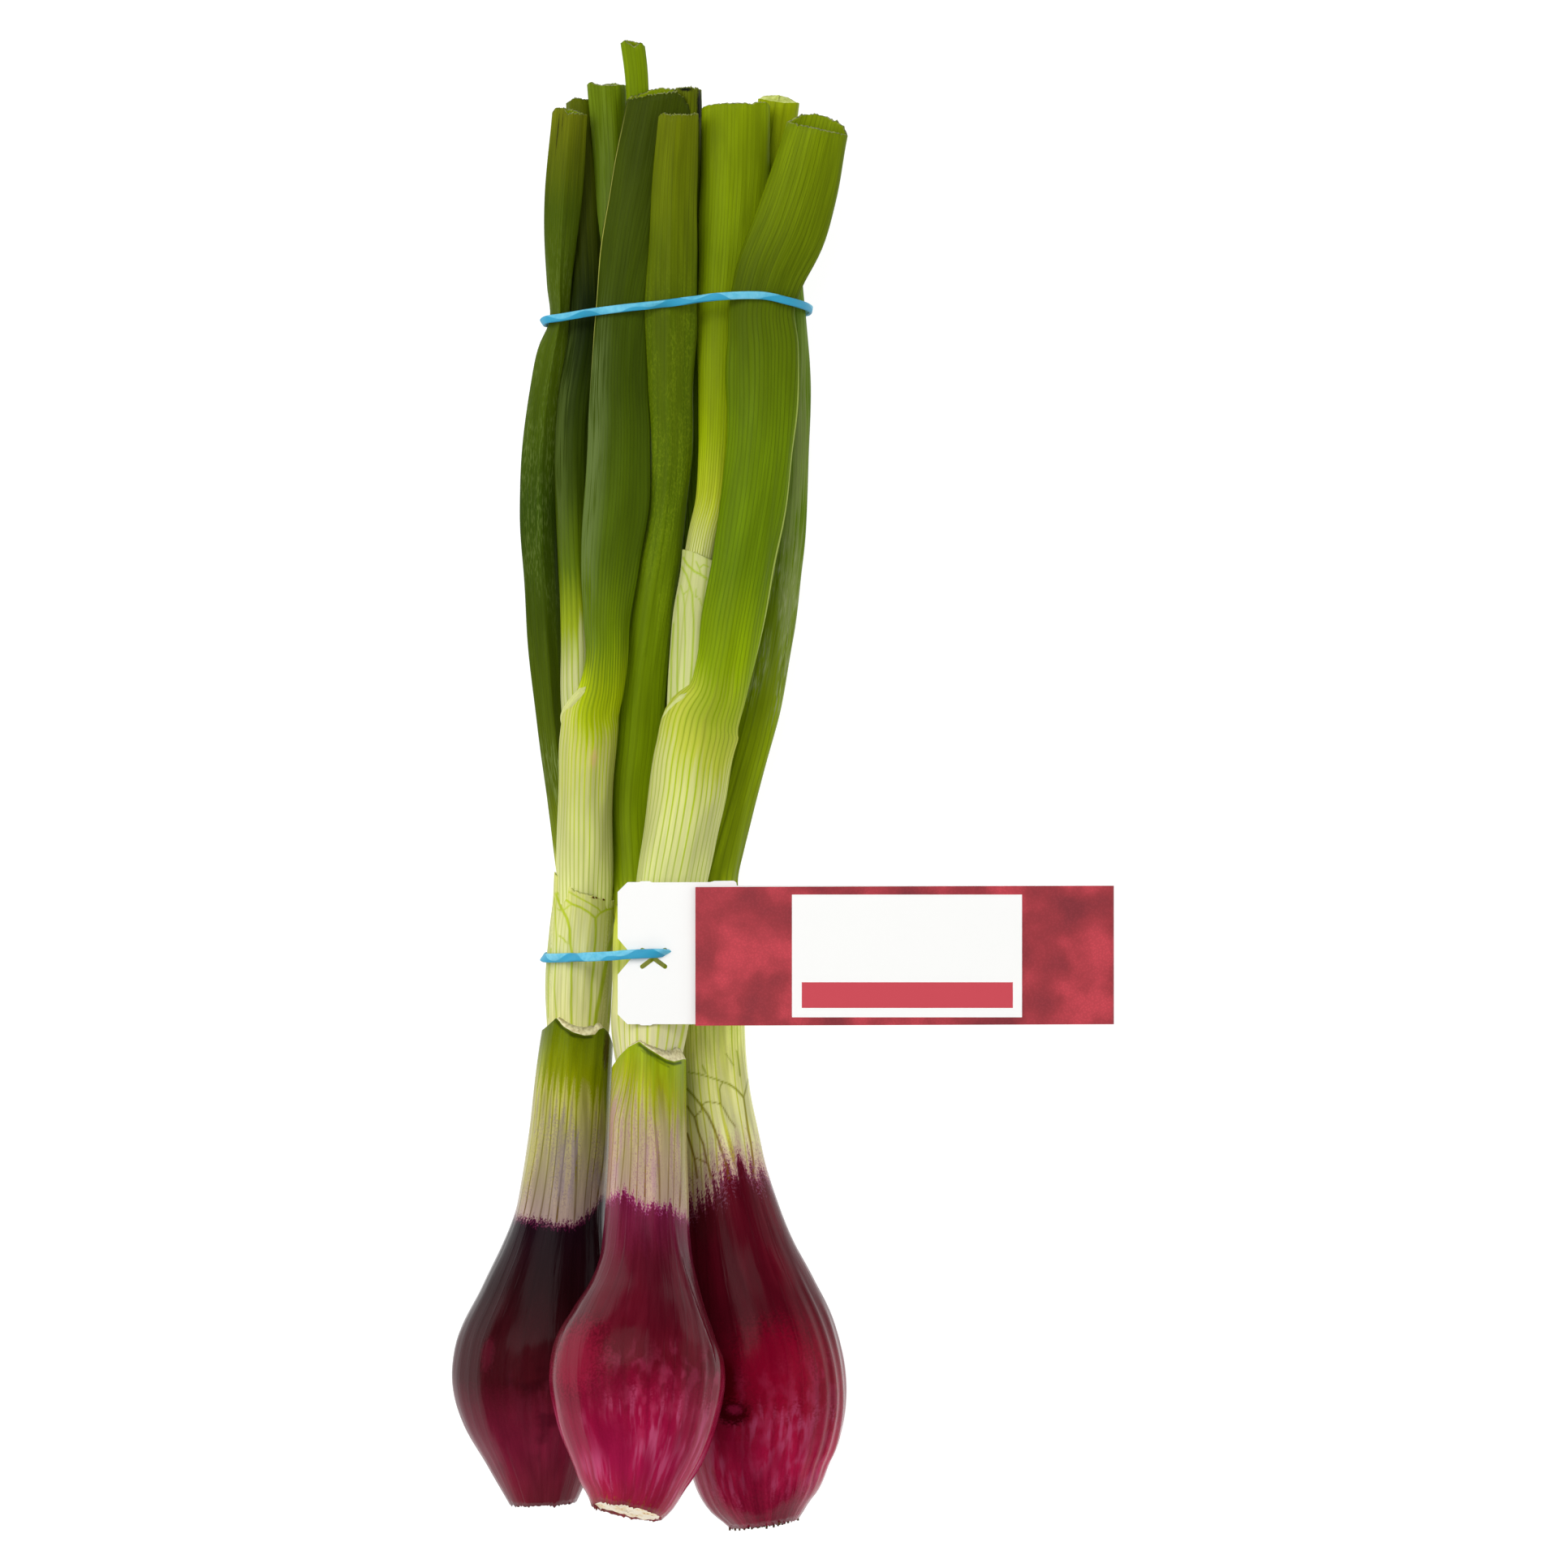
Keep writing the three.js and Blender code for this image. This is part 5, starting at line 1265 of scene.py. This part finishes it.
def printed_card():
    """Coated white card with a matt print: mottled red with a fine print dot, a bare panel and a bare bar."""
    material = new_material("printed_card")
    tree = material.node_tree
    place_at = add(tree, "TexCoord", {}, out=3)
    place_at = add(tree, "VectorMath", {0: place_at, "Scale": 1 / MM}, operation="SCALE")
    x, y, z = add(tree, "SeparateXYZ", {0: place_at}).node.outputs
    cloud = add(tree, "TexNoise", {"Vector": place_at, "Scale": 0.11, "Detail": 2.0, "Roughness": 0.4})
    dots = add(tree, "TexVoronoi", {"Vector": place_at, "Scale": 2.2})
    fibre = add(tree, "TexNoise", {"Vector": place_at, "Scale": 1.6, "Detail": 4.0})
    ground = add(tree, "ValToRGB", {"Fac": cloud},
                 stops=[(0.32, "#862f37"), (0.5, "#9e343c"), (0.66, "#c0404b")])
    dotted = add(tree, "MapRange", {"Value": dots, "From Max": 0.6, "To Min": 1.12, "To Max": 0.88})
    ground = add(tree, "VectorMath", {0: ground, "Scale": dotted}, operation="SCALE")

    def inside(left, right, bottom, top):
        across = add(tree, "Math", {0: x, 1: (left + right) / 2, 2: (right - left) / 2}, operation="COMPARE")
        upward = add(tree, "Math", {0: y, 1: (bottom + top) / 2, 2: (top - bottom) / 2}, operation="COMPARE")
        return add(tree, "Math", {0: across, 1: upward}, **TIMES)

    printed = add(tree, "Math", {0: z, 1: TAG["z"] + CARD + FOLD_GAP / 2}, operation="GREATER_THAN")
    white = srgb("#f0f0ee")
    face = add(tree, "Mix", {0: inside(*PANEL), 6: ground, 7: white}, **RGBA)
    face = add(tree, "Mix", {0: inside(*BAR), 6: face, 7: srgb("#c44450")}, **RGBA)
    colour = add(tree, "Mix", {0: printed, 6: white, 7: face}, **RGBA)
    bump = add(tree, "Bump", {"Height": fibre, "Strength": 0.4, "Distance": 0.00003})
    shader = add(tree, "BsdfPrincipled", {"Base Color": colour, "Roughness": 0.5, "Normal": bump})
    add(tree, "OutputMaterial", {"Surface": shader})
    return material


def tag_leaf():
    """The back leaf as a flat outline, filled between its edge and its crossed slit, as thick as card."""
    left, right, bottom, top = TAG["left"], TAG["right"] - CARD - FOLD_GAP / 2, TAG["bottom"], TAG["top"]
    notch_top = NOTCH["y"] + NOTCH["half_height"]
    notch_bottom = NOTCH["y"] - NOTCH["half_height"]
    edge = [
        (left, top - TAG_CORNER), (left, notch_top), (left + NOTCH["depth"], NOTCH["y"]),
        (left, notch_bottom), (left, bottom + TAG_CORNER), (left + TAG_CORNER, bottom), (-30.9, bottom),
        (-30.6, bottom - 0.25), (-28.5, bottom - 0.25), (-28.1, bottom), (right, bottom),
        (right, TAG["panel_top"]), (TAB_END, TAG["panel_top"]), (TAB_END - 0.1, top - 0.1),
        (TAB_END - 0.6, top + 0.3), (-14.9, top + 0.25), (-15.8, top), (-28.3, top - 0.05),
        (-28.8, top + 0.2), (-30.6, top + 0.2), (-31.0, top), (left + TAG_CORNER, top),
    ]
    reach, half = SLIT["length"] / 2, SLIT["width"] / 2
    lean = math.radians(SLIT["angle"])
    slit = []
    for turn, opening in ((lean, math.pi - 2 * lean), (math.pi - lean, 2 * lean),
                          (math.pi + lean, math.pi - 2 * lean), (-lean, 2 * lean)):
        for swing in np.linspace(-math.pi / 2, math.pi / 2, 7):
            slit.append((SLIT["x"] + reach * math.cos(turn) + half * math.cos(turn + swing),
                         SLIT["y"] + reach * math.sin(turn) + half * math.sin(turn + swing)))
        corner = half / math.sin(opening / 2)
        middle = turn + opening / 2
        slit.append((SLIT["x"] + corner * math.cos(middle), SLIT["y"] + corner * math.sin(middle)))
    curve = bpy.data.curves.new("tag_outline", "CURVE")
    curve.dimensions = "2D"
    curve.fill_mode = "BOTH"
    curve.extrude = CARD / 2 * MM
    for outline in (edge, slit):
        spline = curve.splines.new("POLY")
        spline.points.add(len(outline) - 1)
        for point, (x, y) in zip(spline.points, outline):
            point.co = (x * MM, y * MM, 0.0, 1.0)
        spline.use_cyclic_u = True
    drawn = bpy.data.objects.new("tag_outline", curve)
    mesh = bpy.data.meshes.new_from_object(drawn)
    bpy.data.objects.remove(drawn)
    leaf = bmesh.new()
    leaf.from_mesh(mesh)
    bpy.data.meshes.remove(mesh)
    bmesh.ops.remove_doubles(leaf, verts=leaf.verts, dist=0.00001)
    bmesh.ops.translate(leaf, verts=leaf.verts, vec=(0, 0, (TAG["z"] + CARD / 2) * MM))
    return leaf


tag = tag_leaf()
fold_x = TAG["right"] - CARD - FOLD_GAP / 2
fold_z = TAG["z"] + CARD + FOLD_GAP / 2
end = [face for face in tag.faces
       if face.normal.x > 0.9 and face.calc_center_median().x > (fold_x - 0.01) * MM]
turned = bmesh.ops.spin(tag, geom=end, cent=Vector((fold_x, 0, fold_z)) * MM, axis=(0, -1, 0), angle=math.pi,
                        steps=10, use_merge=False)["geom_last"]
end = [item for item in turned if isinstance(item, bmesh.types.BMFace)]
front_step = ((TAG["panel_left"] - fold_x) / FRONT_STEPS * MM, -FRONT_DRIFT / FRONT_STEPS * MM, 0)
for _ in range(FRONT_STEPS):
    pushed = bmesh.ops.extrude_face_region(tag, geom=end)["geom"]
    bmesh.ops.delete(tag, geom=end, context="FACES_ONLY")
    end = [item for item in pushed if isinstance(item, bmesh.types.BMFace)]
    corners = [item for item in pushed if isinstance(item, bmesh.types.BMVert)]
    bmesh.ops.translate(tag, verts=corners, vec=front_step)
hang_tag = finish_piece(tag, "hang_tag", [printed_card()])
for polygon in hang_tag.data.polygons:
    polygon.use_smooth = False

# The table, the light and the camera.
# A matt white acrylic table lit from below, which keeps shadows off it. Large soft lights stand to the left,
# the right and beyond both ends, two white cards give the shine on the skins, and the camera looks down.
floor_mesh = bmesh.new()
bmesh.ops.create_grid(floor_mesh, x_segments=1, y_segments=1, size=3.0)
mesh = bpy.data.meshes.new("white_table")
floor_mesh.to_mesh(mesh)
floor_mesh.free()
floor = bpy.data.objects.new("white_table", mesh)
bpy.context.scene.collection.objects.link(floor)
# Matt acrylic that glows a little: shadows on it stay faint, so the outlines stand out.
table = new_material("matt_white_acrylic_lit_from_below")
paper = add(table.node_tree, "BsdfPrincipled", {"Base Color": srgb("#848484"), "Roughness": 0.9,
                                                "Emission Color": srgb("#ffffff"), "Emission Strength": 0.9})
add(table.node_tree, "OutputMaterial", {"Surface": paper})
mesh.materials.append(table)

world = bpy.data.worlds.new("studio")
bpy.context.scene.world = world
world.use_nodes = True
world.node_tree.nodes["Background"].inputs["Color"].default_value = (1.0, 1.0, 1.0, 1.0)
world.node_tree.nodes["Background"].inputs["Strength"].default_value = 0.28
world.cycles_visibility.glossy = False


def soft_light(name, place_at, aim, size, power, mirrored):
    """A soft light; only a mirrored one shows as a shine on glossy skin."""
    lamp = bpy.data.lights.new(name, "AREA")
    lamp.shape = "RECTANGLE"
    lamp.size, lamp.size_y = size
    lamp.energy = power
    light = bpy.data.objects.new(name, lamp)
    light.location = place_at
    light.visible_glossy = mirrored
    light.visible_camera = False
    light.rotation_euler = (Vector(aim) - Vector(place_at)).to_track_quat("-Z", "Y").to_euler()
    bpy.context.scene.collection.objects.link(light)


soft_light("left_softbox", (-1.4, 0.2, 1.3), (0, 0, 0), (1.4, 1.6), 22.0, False)
soft_light("right_softbox", (1.5, 0.1, 1.3), (0, 0, 0), (1.1, 1.4), 8.0, False)
soft_light("far_softbox", (-0.6, 1.2, 1.9), (0, 0, 0), (1.1, 0.8), 13.0, False)
soft_light("near_softbox", (0.1, -1.6, 0.8), (0, 0, 0), (1.4, 0.8), 6.0, False)
soft_light("overhead_card", (-0.42, 1.0, 1.25), (0, 0, 0), (1.9, 0.95), 5.6, True)
soft_light("right_card", (1.6, 0.0, 0.5), (0, 0, 0.1), (2.4, 0.95), 4.6, True)

IMAGE_WIDTH = 1932  # pixels
PIXEL = 0.175  # what one pixel covers at SCALE_HEIGHT
SCALE_HEIGHT = 20.0  # above the table
CAMERA_HEIGHT = 1400.0
lens = bpy.data.cameras.new("overhead_camera")
lens.sensor_width = 36.0
lens.lens = lens.sensor_width * (CAMERA_HEIGHT - SCALE_HEIGHT) / (PIXEL * IMAGE_WIDTH)
camera = bpy.data.objects.new("overhead_camera", lens)
camera.location = (0, 0, CAMERA_HEIGHT * MM)
bpy.context.scene.collection.objects.link(camera)
bpy.context.scene.camera = camera
bpy.context.scene.view_settings.view_transform = "Standard"
